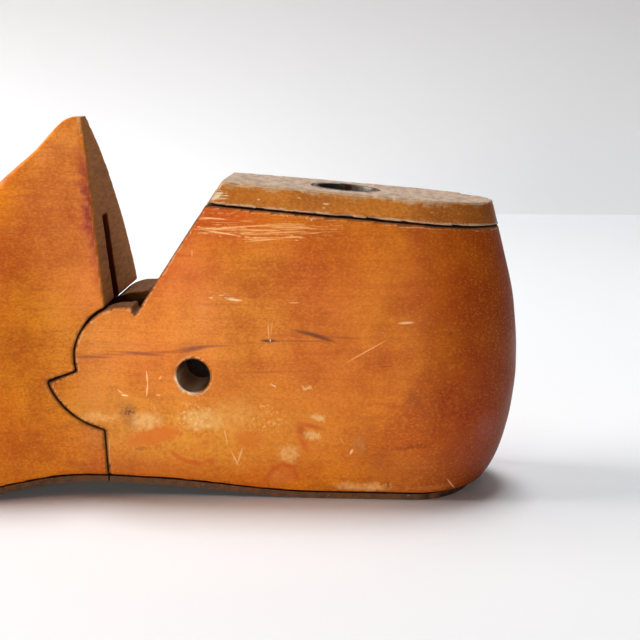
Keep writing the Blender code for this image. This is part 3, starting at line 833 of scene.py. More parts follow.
# How marks are laid: no limit across the foot, the ragged edge, the inner side, and the fills' grain
MARK_DEPTH = 1000.0
MARK_RAG_MM = 2.2
MARK_SHIFT = (6.5 * MM, 0.0, 4.5 * MM)
TRACE = (1e-9, 1e-9, 1e-9)
INNER_SIDE = Ramp(-1 * MM, -5 * MM)
STREAK_MM = (9.0, 1.0, 0.42)
STREAK_TILT = 3.0
SPECK_MM = 0.9
MOTTLE_MM = 1.3
FILL_RAMPS = {
    MarkKind.SOLID: Ramp(0.36, 0.60, bottom=0.40),
    MarkKind.STREAKS: Ramp(0.51, 0.59),
    MarkKind.SPECKS: Ramp(0.55, 0.66),
}

# Where the cuts' saw lines and the kerf's painted shade lie
SAW_MM = (2.0, 6.0, 0.8)
KERF_MIDDLE_MM = -2.0
KERF_SIDE = Ramp(3.5 * MM, 3.2 * MM)


@dataclass(frozen=True)
class StainedMaple:
    """Close-grained maple, turned and sanded, stained orange and shellacked, then handled for years.

    To the eye: a warm orange that drifts from honey to red-brown, deepest towards the back of the heel,
    partly deeper stain and partly painted shade, faint lengthwise grain with fine dark and pale flecks, a
    soft sheen, pale rubs where the shellac is gone, and bare brown wood on the cuts, with painted shade in
    the kerf and a painted highlight on the hook hole's wall.
    """

    name: str
    marks: tuple[Mark, ...] = ()
    # painted highlight: pale marks on the bare faces, such as light falling on the hook hole's lower wall
    bare_painted_highlight: tuple[Mark, ...] = ()
    honey: str = "#de8616"
    orange: str = "#ca640e"
    red: str = "#9c3604"
    bare: str = "#7d4e28"
    bare_dark: str = "#4f2f1a"
    # painted shade: the dark colour laid on the faces in the kerf and slot, where shade falls
    kerf_shade: str = "#6c3014"
    worn: str = "#d8ae82"
    dark_fleck: str = "#8a3408"
    pale_fleck: str = "#f2993a"
    # end colour: partly a deeper stain, partly painted shade where the heel turns away from the light
    dark_end_and_shade: str = "#782402"
    dark_start_mm: float = 66.0
    dark_stop_mm: float = 112.0
    dark_rag_mm: float = 24.0
    dark_share: float = 0.85
    blotch_mm: float = 34.0
    grain_mm: float = 1.1
    grain_length_mm: float = 38.0
    grain_tilt: float = 4.0
    fleck_mm: float = 0.5
    wear: float = 0.55
    rub_mm: float = 3.0
    rub_span: tuple[float, float] = (0.34, 0.46)
    # how high the painted kerf shade reaches, in mm
    kerf_shade_top_mm: float = 50.0
    dull: float = 0.44
    dull_drift: tuple[float, float] = (-0.06, 0.10)
    bare_dull: float = 0.78
    shine: float = 0.15
    relief: float = 0.12 * MM
    blotches: Ramp = Ramp(0.36, 0.66)
    clouds: Ramp = Ramp(0.42, 0.78, 0.75)
    grain_lines: Ramp = Ramp(0.48, 0.70, 0.34)
    dark_flecks: Ramp = Ramp(0.50, 0.70, 0.30)
    pale_flecks: Ramp = Ramp(0.48, 0.32, 0.26)
    saw_lines: Ramp = Ramp(0.40, 0.70)

    def material(self) -> Material:
        """Builds the material."""
        made, tree, shader = blank_material(self.name)
        place = node(tree, "TexCoord").outputs["Object"]
        share = self.blotches.of(tree, noise(tree, place, per(self.blotch_mm), detail=4.0))
        colour = mixed(tree, share, linear(self.honey), linear(self.orange))
        cloud = noise(tree, place, per(self.blotch_mm / 3), detail=5.0, rough=0.6)
        colour = mixed(tree, self.clouds.of(tree, cloud), colour, linear(self.red))
        # darker towards the heel's back: partly stain, partly painted shade
        colour = self.darker_end_stain_and_shade(tree, place, cloud, colour)
        grain = self.grain(tree, place)
        colour = mixed(tree, self.grain_lines.of(tree, grain), colour, linear(self.red))
        for share, fleck in zip(self.flecks(tree, place), (self.dark_fleck, self.pale_fleck)):
            colour = mixed(tree, share, colour, linear(fleck))
        colour = self.marked(tree, place, colour, self.marks)
        colour = self.rubbed(tree, place, colour)
        feed(tree, shader, {"Base Color": self.bared(tree, place, colour)})
        self.surface(tree, shader, cloud, grain)
        return made

    def darker_end_stain_and_shade(self, tree: NodeTree, place: NodeSocket, cloud: NodeSocket, colour: NodeSocket) -> NodeSocket:
        """Darkens the colour towards the back of the heel, along a ragged front: partly a deeper stain,
        partly painted shade where the heel turns away from the light.

        Args:
            tree: the material's nodes.
            place: the object coordinates.
            cloud: the noise that makes the front ragged.
            colour: the colour so far.

        Returns:
            The new colour.
        """
        along, rag = node(tree, "SeparateXYZ", {0: place}).outputs["X"], self.dark_rag_mm * MM
        moved = maths(tree, "ADD", along, maths(tree, "MULTIPLY", cloud, rag))
        start, stop = self.dark_start_mm * MM + rag / 2, self.dark_stop_mm * MM + rag / 2
        share = Ramp(start, stop, self.dark_share, smooth=True).of(tree, moved)
        return mixed(tree, share, colour, linear(self.dark_end_and_shade))

    def grain(self, tree: NodeTree, place: NodeSocket) -> NodeSocket:
        """Long soft streaks along the foot, rising a little towards the heel."""
        sizes = (self.grain_length_mm, self.grain_mm * 1.6, self.grain_mm)
        turned = stretched(tree, place, sizes, self.grain_tilt)
        return noise(tree, turned, detail=4.0, rough=0.62, bent=0.25)

    def flecks(self, tree: NodeTree, place: NodeSocket) -> tuple[NodeSocket, ...]:
        """Fine mottling, a little longer than high: the share of dark flecks, and that of pale ones."""
        sizes = (self.fleck_mm * 1.6, self.fleck_mm, self.fleck_mm)
        flecks = noise(tree, stretched(tree, place, sizes, self.grain_tilt), detail=2.0)
        return self.dark_flecks.of(tree, flecks), self.pale_flecks.of(tree, flecks)

    def marked(self, tree: NodeTree, place: NodeSocket, colour: NodeSocket,
               marks: tuple[Mark, ...]) -> NodeSocket:
        """Lays each mark on the inner side, with a ragged edge.

        A trace of the colour so far, too small to matter, is added to each mark's place. That makes the
        marks follow one another, where all at once they would be too many for the renderer to hold.

        Args:
            tree: the material's nodes.
            place: the object coordinates.
            colour: the colour so far.
            marks: what to lay, the lowest first.

        Returns:
            The new colour.
        """
        if not marks:
            return colour
        rag = node(tree, "TexNoise", {"Vector": place, "Scale": per(MARK_RAG_MM), "Detail": 4.0,
                                      "Roughness": 0.65}).outputs["Color"]
        centred = node(tree, "VectorMath", {0: rag, 1: (0.5, 0.5, 0.5)}, operation="SUBTRACT").outputs[0]
        shift = node(tree, "VectorMath", {0: centred, 1: MARK_SHIFT}, operation="MULTIPLY").outputs[0]
        ragged = node(tree, "VectorMath", {0: place, 1: shift}, operation="ADD").outputs[0]
        inner = INNER_SIDE.of(tree, node(tree, "SeparateXYZ", {0: place}).outputs["Y"])
        threads = stretched(tree, place, STREAK_MM, STREAK_TILT)
        patterns = {
            MarkKind.STREAKS: noise(tree, threads, detail=3.0, rough=0.7, bent=0.5),
            MarkKind.SPECKS: noise(tree, place, per(SPECK_MM), detail=3.0),
            MarkKind.SOLID: noise(tree, place, per(MOTTLE_MM), detail=4.0, rough=0.7),
        }
        fills = {kind: ramp.of(tree, patterns[kind]) for kind, ramp in FILL_RAMPS.items()}
        for mark in marks:
            start = place if mark.kind is MarkKind.SCRATCH else ragged
            start = node(tree, "VectorMath", {0: colour, 1: TRACE, 2: start}, operation="MULTIPLY_ADD").outputs[0]
            share = maths(tree, "MULTIPLY", mark.inside(tree, start), inner)
            if mark.kind in fills:
                share = maths(tree, "MULTIPLY", share, fills[mark.kind])
            colour = mixed(tree, share, colour, linear(mark.colour))
        return colour

    def rubbed(self, tree: NodeTree, place: NodeSocket, colour: NodeSocket) -> NodeSocket:
        """Pale wood where the edges have lost their shellac, in patches."""
        rim = layer(tree, "rim")
        amount = maths(tree, "MULTIPLY", rim, noise(tree, place, per(self.rub_mm), detail=5.0, rough=0.7))
        return mixed(tree, Ramp(*self.rub_span, self.wear).of(tree, amount), colour, linear(self.worn))

    def bared(self, tree: NodeTree, place: NodeSocket, colour: NodeSocket) -> NodeSocket:
        """Brown unstained wood on the sawn faces, with the saw's fine lines, any painted highlight given for
        them, and painted shade in the kerf and slot.
        """
        cut = layer(tree, "bare")
        lines = noise(tree, stretched(tree, place, SAW_MM), detail=5.0, rough=0.65)
        wood = mixed(tree, self.saw_lines.of(tree, lines), linear(self.bare), linear(self.bare_dark))
        # painted highlight, where pale marks are given for the bare faces
        wood = self.marked(tree, place, wood, self.bare_painted_highlight)
        # painted shade darkens the faces in the kerf and slot
        wood = mixed(tree, self.kerf_shade_share(tree, place), wood, linear(self.kerf_shade))
        return mixed(tree, cut, colour, wood)

    def kerf_shade_share(self, tree: NodeTree, place: NodeSocket) -> NodeSocket:
        """The share of painted shade in the strap's kerf and slot, which lie along the hinge's middle."""
        split = node(tree, "SeparateXYZ", {0: place})
        aside = maths(tree, "ABSOLUTE", maths(tree, "ADD", split.outputs["Y"], -KERF_MIDDLE_MM * MM))
        top = self.kerf_shade_top_mm
        return maths(tree, "MULTIPLY", KERF_SIDE.of(tree, aside),
                     Ramp(top * MM, (top - 1) * MM).of(tree, split.outputs["Z"]))

    def surface(self, tree: NodeTree, shader: Node, cloud: NodeSocket, grain: NodeSocket) -> None:
        """Shellac's sheen, dull on bare wood, over the faint relief of the grain.

        Args:
            tree: the material's nodes.
            shader: the Principled BSDF.
            cloud: the noise that varies the sheen.
            grain: the noise that raises the grain.
        """
        cut = layer(tree, "bare")
        less, more = self.dull_drift
        dull = Ramp(0.3, 0.7, self.dull + more, self.dull + less).of(tree, cloud)
        feed(tree, shader, {
            "Roughness": node(tree, "Mix", {0: cut, 2: dull, 3: self.bare_dull}, data_type="FLOAT").outputs[0],
            "Normal": node(tree, "Bump", {"Height": grain, "Strength": 0.25, "Distance": self.relief}).outputs[0],
            "IOR": 1.5, "Specular IOR Level": self.shine})


@dataclass(frozen=True)
class WornSlabMaple(StainedMaple):
    """The slab's maple: a browner, thinner stain, worn through to pale fibres along its upper edge.

    To the eye: flat ochre-brown sides, and a broad chipped band of grey-white wood at every edge.
    """

    honey: str = "#c47a28"
    orange: str = "#b4681e"
    red: str = "#904c12"
    worn: str = "#c9ab88"
    pale_fleck: str = "#d89a50"
    wear: float = 0.75
    # the slab's end colour: partly a deeper stain, partly painted shade towards the back
    dark_end_and_shade: str = "#8a4a1c"
    bare: str = "#b8a08c"
    bare_dark: str = "#8d7662"


@dataclass(frozen=True)
class AgedIron:
    """Rolled iron or steel, oiled and handled until it is brown-black, with rust in its hollows.

    To the eye: dark, dull metal with brown patches and small bright rubs.
    """

    name: str
    metal: str = "#5d5650"
    rust: str = "#4a2415"
    rubbed: str = "#9a938a"
    rough: float = 0.5
    rust_rough: float = 0.85
    rust_shine: float = 0.15
    rust_share: float = 0.55
    rust_edge: tuple[float, float] = (-0.06, 0.08)
    patch_mm: float = 4.0
    rub_mm: float = 0.5
    rubs: Ramp = Ramp(0.60, 0.75)
    relief: float = 0.15 * MM

    def material(self) -> Material:
        """Builds the material."""
        made, tree, shader = blank_material(self.name)
        place = node(tree, "TexCoord").outputs["Object"]
        patch = noise(tree, place, per(self.patch_mm), detail=6.0, rough=0.65)
        bright = self.rubs.of(tree, noise(tree, place, per(self.rub_mm), detail=3.0))
        metal = mixed(tree, bright, linear(self.metal), linear(self.rubbed))
        edge = 0.5 + 0.25 * (0.5 - self.rust_share)
        clean, full = self.rust_edge
        rusty = Ramp(edge + clean, edge + full).of(tree, patch)
        feed(tree, shader, {
            "Base Color": mixed(tree, rusty, metal, linear(self.rust)),
            "Metallic": Ramp(0.0, 1.0, top=self.rust_shine, bottom=1.0).of(tree, rusty),
            "Roughness": Ramp(0.0, 1.0, top=self.rust_rough, bottom=self.rough).of(tree, rusty),
            "Normal": node(tree, "Bump", {"Height": patch, "Strength": 0.4, "Distance": self.relief}).outputs[0]})
        return made


# Marks on the heel, the forepart, the slab and the hook hole's wall, the lowest first: broad drifts of
# stain, grain lines, scratches, chips, rubs and rings. The hook hole's wall gets a painted highlight,
# and two pink patches low at the heel's back are a painted reflection of the floor.

HEEL_MARKS = (
    Mark(23.4, 63.1, 8.99, 10.58, "#d8562a", 0.45, 55, 0.9),
    Mark(35.2, 73.5, 15.87, 4.50, "#c8431c", 0.55, -6, 0.8),
    Mark(21.8, 17.5, 31.74, 9.52, "#e4a038", 0.75, 0, 0.9),
    Mark(55.2, 23.6, 18.52, 11.90, "#db8c30", 0.35, 0, 0.9),
    Mark(15.3, 42.5, 15.87, 11.90, "#e8863c", 0.35, 0, 0.9),
    Mark(74.7, 46.3, 15.87, 18.52, "#c46416", 0.35, 0, 0.9),
    Mark(97.5, 29.0, 8.99, 16.40, "#8a2a04", 0.6, 0, 0.8),
    Mark(90.0, 61.7, 10.58, 11.90, "#a8420e", 0.4, 0, 0.9),
    Mark(82.9, 8.8, 13.23, 4.76, "#a6602c", 0.45, 0, 0.9),
    # painted reflection: a pink sheen of the floor, low at the heel's back
    Mark(104.1, 10.6, 5.82, 7.94, "#8e4434", 0.45, 60, 0.8),
    Mark(14.6, 7.6, 15.87, 2.38, "#c25a22", 0.4, -4, 0.8),
    scratch(-1.1, 37.4, 4.50, 0.34, "#9c4628", 0.8, 0, 0.7),
    scratch(4.9, 38.2, 5.82, 0.26, "#ac5428", 0.6, 2, 0.7),
    scratch(6.5, 39.0, 4.23, 0.21, "#b45c2c", 0.45, -2, 0.7),
    scratch(13.1, 38.8, 5.29, 0.40, "#984828", 0.85, -2, 0.7),
    scratch(20.2, 39.5, 5.82, 0.24, "#9c4a26", 0.65, 2, 0.7),
    scratch(23.5, 40.1, 3.70, 0.21, "#9a4826", 0.6, 6, 0.7),
    scratch(27.8, 41.0, 3.97, 0.45, "#7c3c28", 0.85, 8, 0.7),
    scratch(26.7, 40.2, 2.65, 0.21, "#8a4226", 0.7, 8, 0.7),
    scratch(33.1, 41.6, 3.97, 0.26, "#a04c26", 0.65, 2, 0.7),
    Mark(26.2, 41.8, 5.29, 0.63, "#b0602e", 0.45, 3, 0.8),
    Mark(8.4, 40.9, 7.94, 0.79, "#c8743a", 0.35, 2, 0.8),
    scratch(47.1, 43.2, 1.98, 0.40, "#56301f", 0.95, 0, 0.45),
    scratch(54.4, 43.2, 6.35, 0.24, "#984818", 0.65, 0, 0.7),
    scratch(58.3, 45.0, 4.50, 0.42, "#703a1e", 0.9, -12, 0.6),
    scratch(60.9, 44.0, 3.44, 0.32, "#703618", 0.8, -15, 0.6),
    scratch(56.7, 45.6, 2.38, 0.21, "#8a4a22", 0.6, -8, 0.6),
    scratch(66.9, 44.2, 3.70, 0.26, "#9c4a14", 0.65, -2, 0.7),
    scratch(45.2, 34.9, 8.46, 0.26, "#b05a22", 0.6, 2, 0.7),
    specks(55.2, 35.7, 2.38, 1.11, "#a05a26", 0.55, 0, 0.5),
    specks(76.8, 39.3, 2.38, 2.38, "#8e4412", 0.55, -40, 0.7),
    scratch(77.4, 36.8, 1.45, 0.21, "#7c3c16", 0.6, 4, 0.6),
    Mark(85.0, 28.1, 1.59, 1.85, "#7e3410", 0.55, 0, 0.7),
    Mark(82.5, 14.8, 3.97, 0.53, "#7c2c0c", 0.65, 3, 0.8),
    Mark(86.2, 15.6, 2.38, 0.42, "#782808", 0.6, 8, 0.8),
    scratch(59.4, 32.3, 1.85, 0.16, "#9a5020", 0.6, 50, 0.3),
    scratch(46.9, 45.8, 0.15, 2.12, "#f0b478", 0.6, 4, 0.4),
    scratch(47.7, 46.3, 0.13, 1.85, "#eeb070", 0.5, -8, 0.4),
    scratch(47.4, 43.3, 0.16, 0.32, "#e8c8a0", 0.9, 0, 0.3),
    scratch(72.6, 40.8, 5.55, 0.15, "#f0a860", 0.85, 30, 0.3),
    specks(76.5, 45.8, 1.06, 0.66, "#d89870", 0.5, 0, 0.6),
    scratch(14.4, 32.6, 0.20, 1.59, "#f6c088", 0.85, 5, 0.35),
    scratch(14.4, 29.4, 0.20, 1.85, "#f6c088", 0.9, -6, 0.35),
    scratch(6.9, 28.4, 0.90, 0.19, "#f2bc80", 0.8, -40, 0.4),
    scratch(8.2, 27.4, 0.95, 0.24, "#f8d0a0", 0.95, -4, 0.4),
    scratch(18.0, 32.6, 0.48, 0.16, "#f4bc80", 0.8, 55, 0.4),
    scratch(17.4, 27.9, 0.58, 0.21, "#f0b878", 0.7, 0, 0.5),
    specks(15.7, 26.2, 1.19, 0.69, "#eeb274", 0.8, -40, 0.5),
    specks(15.9, 24.4, 0.53, 1.19, "#eeb678", 0.75, -25, 0.5),
    Mark(48.5, 31.5, 0.90, 0.40, "#f4cc94", 0.95, -40, 0.35),
    Mark(57.0, 30.8, 0.79, 0.48, "#e8b474", 0.8, 0, 0.5),
    specks(52.6, 33.0, 1.32, 0.58, "#e6a860", 0.55, -10, 0.6),
    Mark(9.3, 22.4, 2.51, 3.31, "#ac6c2a", 0.95, 0, 0.5),
    specks(9.3, 22.4, 2.51, 3.04, "#703c12", 0.95, 30, 0.5),
    Mark(14.2, 20.7, 4.23, 2.38, "#e6b06c", 0.85, 10, 0.4),
    Mark(1.4, 21.3, 5.29, 1.06, "#eeb066", 0.65, -1, 0.6),
    Mark(16.3, 16.7, 7.14, 2.25, "#d4641a", 0.8, 14, 0.35),
    Mark(12.4, 12.9, 0.95, 0.69, "#9c4a20", 0.7, 30, 0.5),
    Mark(16.8, 14.1, 0.69, 0.42, "#b05a30", 0.7, 10, 0.5),
    Mark(28.9, 21.7, 5.03, 2.91, "#e0b064", 0.8, 0, 0.4),
    specks(27.9, 22.2, 5.82, 3.70, "#f0c088", 0.65, 0, 0.6),
    Mark(37.2, 23.0, 5.29, 3.70, "#e2a454", 0.5, 0, 0.8),
    specks(45.2, 22.6, 5.29, 3.97, "#eab468", 0.65, 0, 0.6),
    scratch(21.9, 11.6, 2.12, 0.58, "#cc5c1c", 0.7, -35, 0.8),
    scratch(26.1, 9.7, 3.44, 0.61, "#c8541c", 0.7, -12, 0.8),
    scratch(30.5, 10.2, 2.12, 0.53, "#ca5c20", 0.7, 14, 0.8),
    Mark(30.1, 15.3, 3.17, 1.32, "#d07020", 0.45, 20, 0.7),
    Mark(41.6, 16.5, 3.44, 2.38, "#cc6018", 0.6, 0, 0.6),
    scratch(35.5, 17.2, 0.16, 2.38, "#f0b878", 0.6, 12, 0.4),
    scratch(37.8, 11.0, 0.19, 2.12, "#f2bc84", 0.65, 25, 0.4),
    scratch(39.1, 11.9, 0.21, 2.12, "#f2bc84", 0.6, -18, 0.4),
    specks(38.6, 10.7, 2.12, 2.38, "#ecb474", 0.45, 0, 0.6),
    scratch(55.4, 19.5, 1.72, 0.95, "#b24a18", 0.7, -62, 0.8),
    scratch(58.3, 20.6, 2.91, 0.58, "#bc4c18", 0.7, -14, 0.8),
    scratch(55.9, 15.9, 2.38, 0.69, "#c85818", 0.7, -58, 0.8),
    Mark(58.3, 17.9, 1.85, 1.16, "#e4b474", 0.85, -12, 0.5),
    Mark(60.1, 22.9, 1.72, 0.95, "#e6b674", 0.85, -25, 0.5),
    Mark(52.2, 12.7, 2.12, 2.38, "#e8b06a", 0.75, -40, 0.6),
    scratch(46.5, 6.3, 2.12, 0.45, "#c24c1a", 0.7, 58, 0.8),
    scratch(48.7, 8.8, 1.59, 0.50, "#c24c1a", 0.7, 28, 0.8),
    scratch(51.9, 9.3, 1.59, 0.48, "#c24c1a", 0.7, -10, 0.8),
    scratch(54.0, 7.0, 2.12, 0.45, "#c4521e", 0.7, -72, 0.8),
    Mark(52.2, 6.7, 0.90, 0.90, "#c8602c", 0.7, 0, 0.5),
    Mark(49.9, 5.8, 2.65, 1.59, "#d9803c", 0.55, 0, 0.7),
    scratch(68.7, 13.7, 0.32, 0.74, "#ecc08c", 0.9, -25, 0.4),
    scratch(66.2, 16.7, 0.93, 0.19, "#d89a5c", 0.6, -50, 0.4),
    Mark(71.2, 15.9, 1.32, 2.38, "#c98a50", 0.45, 0, 0.7),
    Mark(72.0, 3.7, 6.88, 1.11, "#e4ac68", 0.85, -2, 0.5),
    specks(65.9, 2.4, 2.12, 0.24, "#2a1c14", 0.9, -2, 0.4),
    Mark(78.2, 4.0, 0.34, 0.79, "#5a3018", 0.8, 0, 0.4),
    Mark(88.2, 3.3, 6.88, 0.63, "#c07a44", 0.6, 4, 0.6),
    scratch(95.2, 4.0, 0.19, 1.85, "#e8b088", 0.85, 32, 0.4),
    specks(108.0, 54.7, 1.06, 0.95, "#c89468", 0.75, 0, 0.5),
    specks(107.8, 60.6, 0.69, 2.38, "#b27a50", 0.45, 0, 0.7),
    specks(110.8, 45.4, 0.53, 3.44, "#b89068", 0.65, 0, 0.6),
    Mark(94.2, 45.0, 0.58, 0.21, "#3c1c14", 0.95, -12, 0.4),
    Mark(92.8, 46.3, 0.93, 0.21, "#b05a34", 0.5, 20, 0.5),
    specks(103.3, 35.8, 1.59, 1.32, "#6a2608", 0.55, 0, 0.7),
    # painted reflection: the upper part of the floor's pink sheen at the heel's back
    Mark(104.6, 18.9, 2.65, 3.17, "#a0584a", 0.55, 0, 0.8),
    specks(95.7, 26.2, 4.23, 6.88, "#7c2604", 0.5, 40, 0.8),
    specks(89.8, 19.4, 3.17, 1.59, "#8a3a10", 0.5, 0, 0.7),
    scratch(31.8, 54.1, 0.48, 0.19, "#f0c08c", 0.8, 0, 0.4),
    streaks(36.0, 54.3, 3.44, 0.45, "#e3b27a", 0.9, -6, 0.35),
    scratch(37.9, 53.7, 1.85, 0.29, "#efcba0", 0.9, -5, 0.4),
    scratch(82.7, 48.2, 1.85, 0.32, "#e8b480", 0.85, 4, 0.4),
    specks(78.0, 49.4, 2.12, 0.32, "#d88c4c", 0.6, -12, 0.5),
    scratch(53.5, 53.1, 1.32, 0.21, "#e6a868", 0.7, 0, 0.4),
    streaks(34.3, 76.0, 3.17, 0.42, "#eda462", 0.9, -2, 0.4),
    streaks(34.4, 74.2, 7.14, 0.58, "#f4b872", 1, -2, 0.4),
    scratch(32.2, 74.4, 3.17, 0.19, "#f6c080", 0.9, -4, 0.4),
    streaks(36.8, 73.2, 6.88, 0.53, "#f0ac62", 0.9, -6, 0.4),
    streaks(35.5, 71.9, 10.05, 0.42, "#f4b46c", 0.95, 2, 0.4),
    scratch(32.8, 71.8, 4.76, 0.16, "#f6be7c", 0.9, 2, 0.4),
    scratch(41.2, 72.5, 6.88, 0.16, "#f2b470", 0.8, 4, 0.4),
    streaks(36.8, 70.5, 8.73, 0.63, "#f4b874", 1, -4, 0.4),
    scratch(34.4, 70.7, 4.23, 0.19, "#f8c484", 0.9, -8, 0.4),
    streaks(52.8, 72.3, 10.05, 1.32, "#eeac64", 0.75, 2, 0.6),
    streaks(46.0, 71.3, 11.64, 0.90, "#f0b06a", 0.75, 1, 0.6),
    scratch(51.0, 71.1, 5.29, 0.16, "#f2b470", 0.8, 2, 0.4),
    streaks(48.4, 69.4, 11.11, 0.48, "#f0b06a", 0.85, 4, 0.5),
    scratch(45.0, 69.0, 3.70, 0.16, "#f2b470", 0.8, 5, 0.4),
    scratch(52.3, 69.8, 3.17, 0.13, "#f2b470", 0.8, 5, 0.4),
    streaks(60.6, 70.9, 5.82, 0.63, "#ea9c54", 0.8, 4, 0.5),
    specks(39.0, 76.7, 1.59, 0.37, "#e6bc90", 0.9, 0, 0.5),
    specks(54.0, 75.2, 7.41, 0.40, "#e6b484", 0.9, -6, 0.5),
    scratch(26.6, 65.5, 0.21, 0.93, "#f0a870", 0.6, 0, 0.4),
    specks(38.2, 69.0, 0.93, 0.26, "#e8a060", 0.6, 0, 0.5),
)
FORE_MARKS = (
    Mark(-1.3, 75.6, 13.75, 1.85, "#9a300c", 0.95, -82, 0.8),
    Mark(-0.9, 77.2, 9.52, 1.32, "#8a2606", 1, -82, 0.6),
    Mark(-2.5, 87.1, 3.17, 0.93, "#a03c24", 0.6, -80, 0.7),
    Mark(-2.6, 73.0, 3.70, 1.06, "#b23c26", 0.6, -80, 0.7),
    Mark(0.9, 62.5, 6.88, 1.19, "#a63c14", 0.8, -82, 0.8),
    specks(-2.6, 98.0, 2.12, 0.58, "#d8bc92", 0.85, -82, 0.5),
    Mark(-2.7, 99.1, 2.38, 0.79, "#c8a070", 0.7, -82, 0.7),
    Mark(-1.6, 55.2, 7.94, 6.88, "#ea7a26", 0.45, 0, 0.9),
    Mark(-1.3, 68.2, 0.32, 0.24, "#7a2c1c", 0.8, 0, 0.5),
    Mark(-0.6, 16.1, 2.65, 3.70, "#dc8c40", 0.4, 0, 0.8),
    Mark(-2.8, 6.7, 3.70, 1.85, "#a84c20", 0.6, 0, 0.8),
)
SLAB_MARKS = (
    Mark(35.6, 83.8, 4.23, 1.45, "#b68d5a", 0.95, -2, 0.35),
    Mark(44.2, 83.0, 6.88, 1.22, "#bb9265", 0.95, -5, 0.35),
    Mark(54.4, 82.2, 6.35, 1.11, "#bf9f7a", 0.95, -5, 0.35),
    Mark(61.7, 81.6, 3.17, 1.48, "#b69266", 0.95, -8, 0.3),
    Mark(68.2, 81.0, 5.29, 1.32, "#b48d62", 0.95, -5, 0.35),
    Mark(74.9, 80.5, 3.70, 0.95, "#ba946a", 0.95, -5, 0.35),
    Mark(81.8, 79.9, 4.76, 1.22, "#bfa07c", 0.9, -6, 0.35),
    Mark(88.8, 79.3, 3.70, 1.27, "#b99c78", 0.9, -6, 0.35),
    Mark(94.4, 78.8, 3.70, 0.58, "#a87c50", 0.8, -5, 0.5),
    Mark(101.2, 77.9, 1.59, 0.95, "#a88a64", 0.8, 0, 0.4),
    specks(54.2, 82.2, 21.16, 1.72, "#a07a4c", 0.6, -5, 0.5),
    streaks(44.7, 82.1, 5.82, 0.69, "#d4ac7d", 0.9, -6, 0.4),
    streaks(46.8, 81.1, 4.23, 0.42, "#d2a573", 0.9, -4, 0.4),
    streaks(70.4, 79.5, 3.17, 0.42, "#d09e6e", 0.9, 4, 0.4),
    streaks(33.1, 80.6, 2.12, 2.38, "#dab78b", 0.85, 30, 0.5),
    streaks(33.7, 80.2, 1.72, 1.06, "#e7ceaa", 0.95, 30, 0.4),
    scratch(32.6, 79.8, 1.32, 0.53, "#e9d3b0", 0.9, 30, 0.4),
    scratch(43.9, 79.3, 0.42, 0.19, "#dfb780", 0.9, 0, 0.4),
    scratch(61.5, 78.3, 0.85, 0.24, "#dbb37d", 0.9, -6, 0.4),
    scratch(61.0, 77.3, 0.42, 0.21, "#d6a970", 0.8, 0, 0.4),
    scratch(54.5, 79.8, 0.58, 0.19, "#d6a266", 0.7, -20, 0.4),
    specks(91.1, 76.1, 2.12, 0.63, "#cd9b60", 0.8, -6, 0.5),
    specks(96.9, 76.1, 2.12, 0.79, "#c18d5a", 0.7, -6, 0.5),
    Mark(99.6, 77.4, 3.70, 1.32, "#8c4c1a", 0.45, -6, 0.8),
    Mark(104.0, 76.4, 1.59, 2.65, "#7a3c12", 0.65, 0, 0.7),
)
# painted highlight: a pale patch on the hook hole's lower left wall, where light falls into it
BORE_PAINTED_HIGHLIGHT = (scratch(23.4, 29.6, 4.50, 3.97, "#ffe6c4", 1, 0, 0.4),)


# Sub-assemblies

def dress(obj: Object, material: Material, body: str, slot: str, *nodes: str) -> None:
    """Gives a finished piece its material and its body, and hides the CAD nodes that it stands for."""
    obj.data.materials.clear()
    obj.data.materials.append(material)
    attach(obj, body)
    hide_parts(*nodes)
    log.info("%s: %d faces on %s", obj.name, len(obj.data.polygons), body)


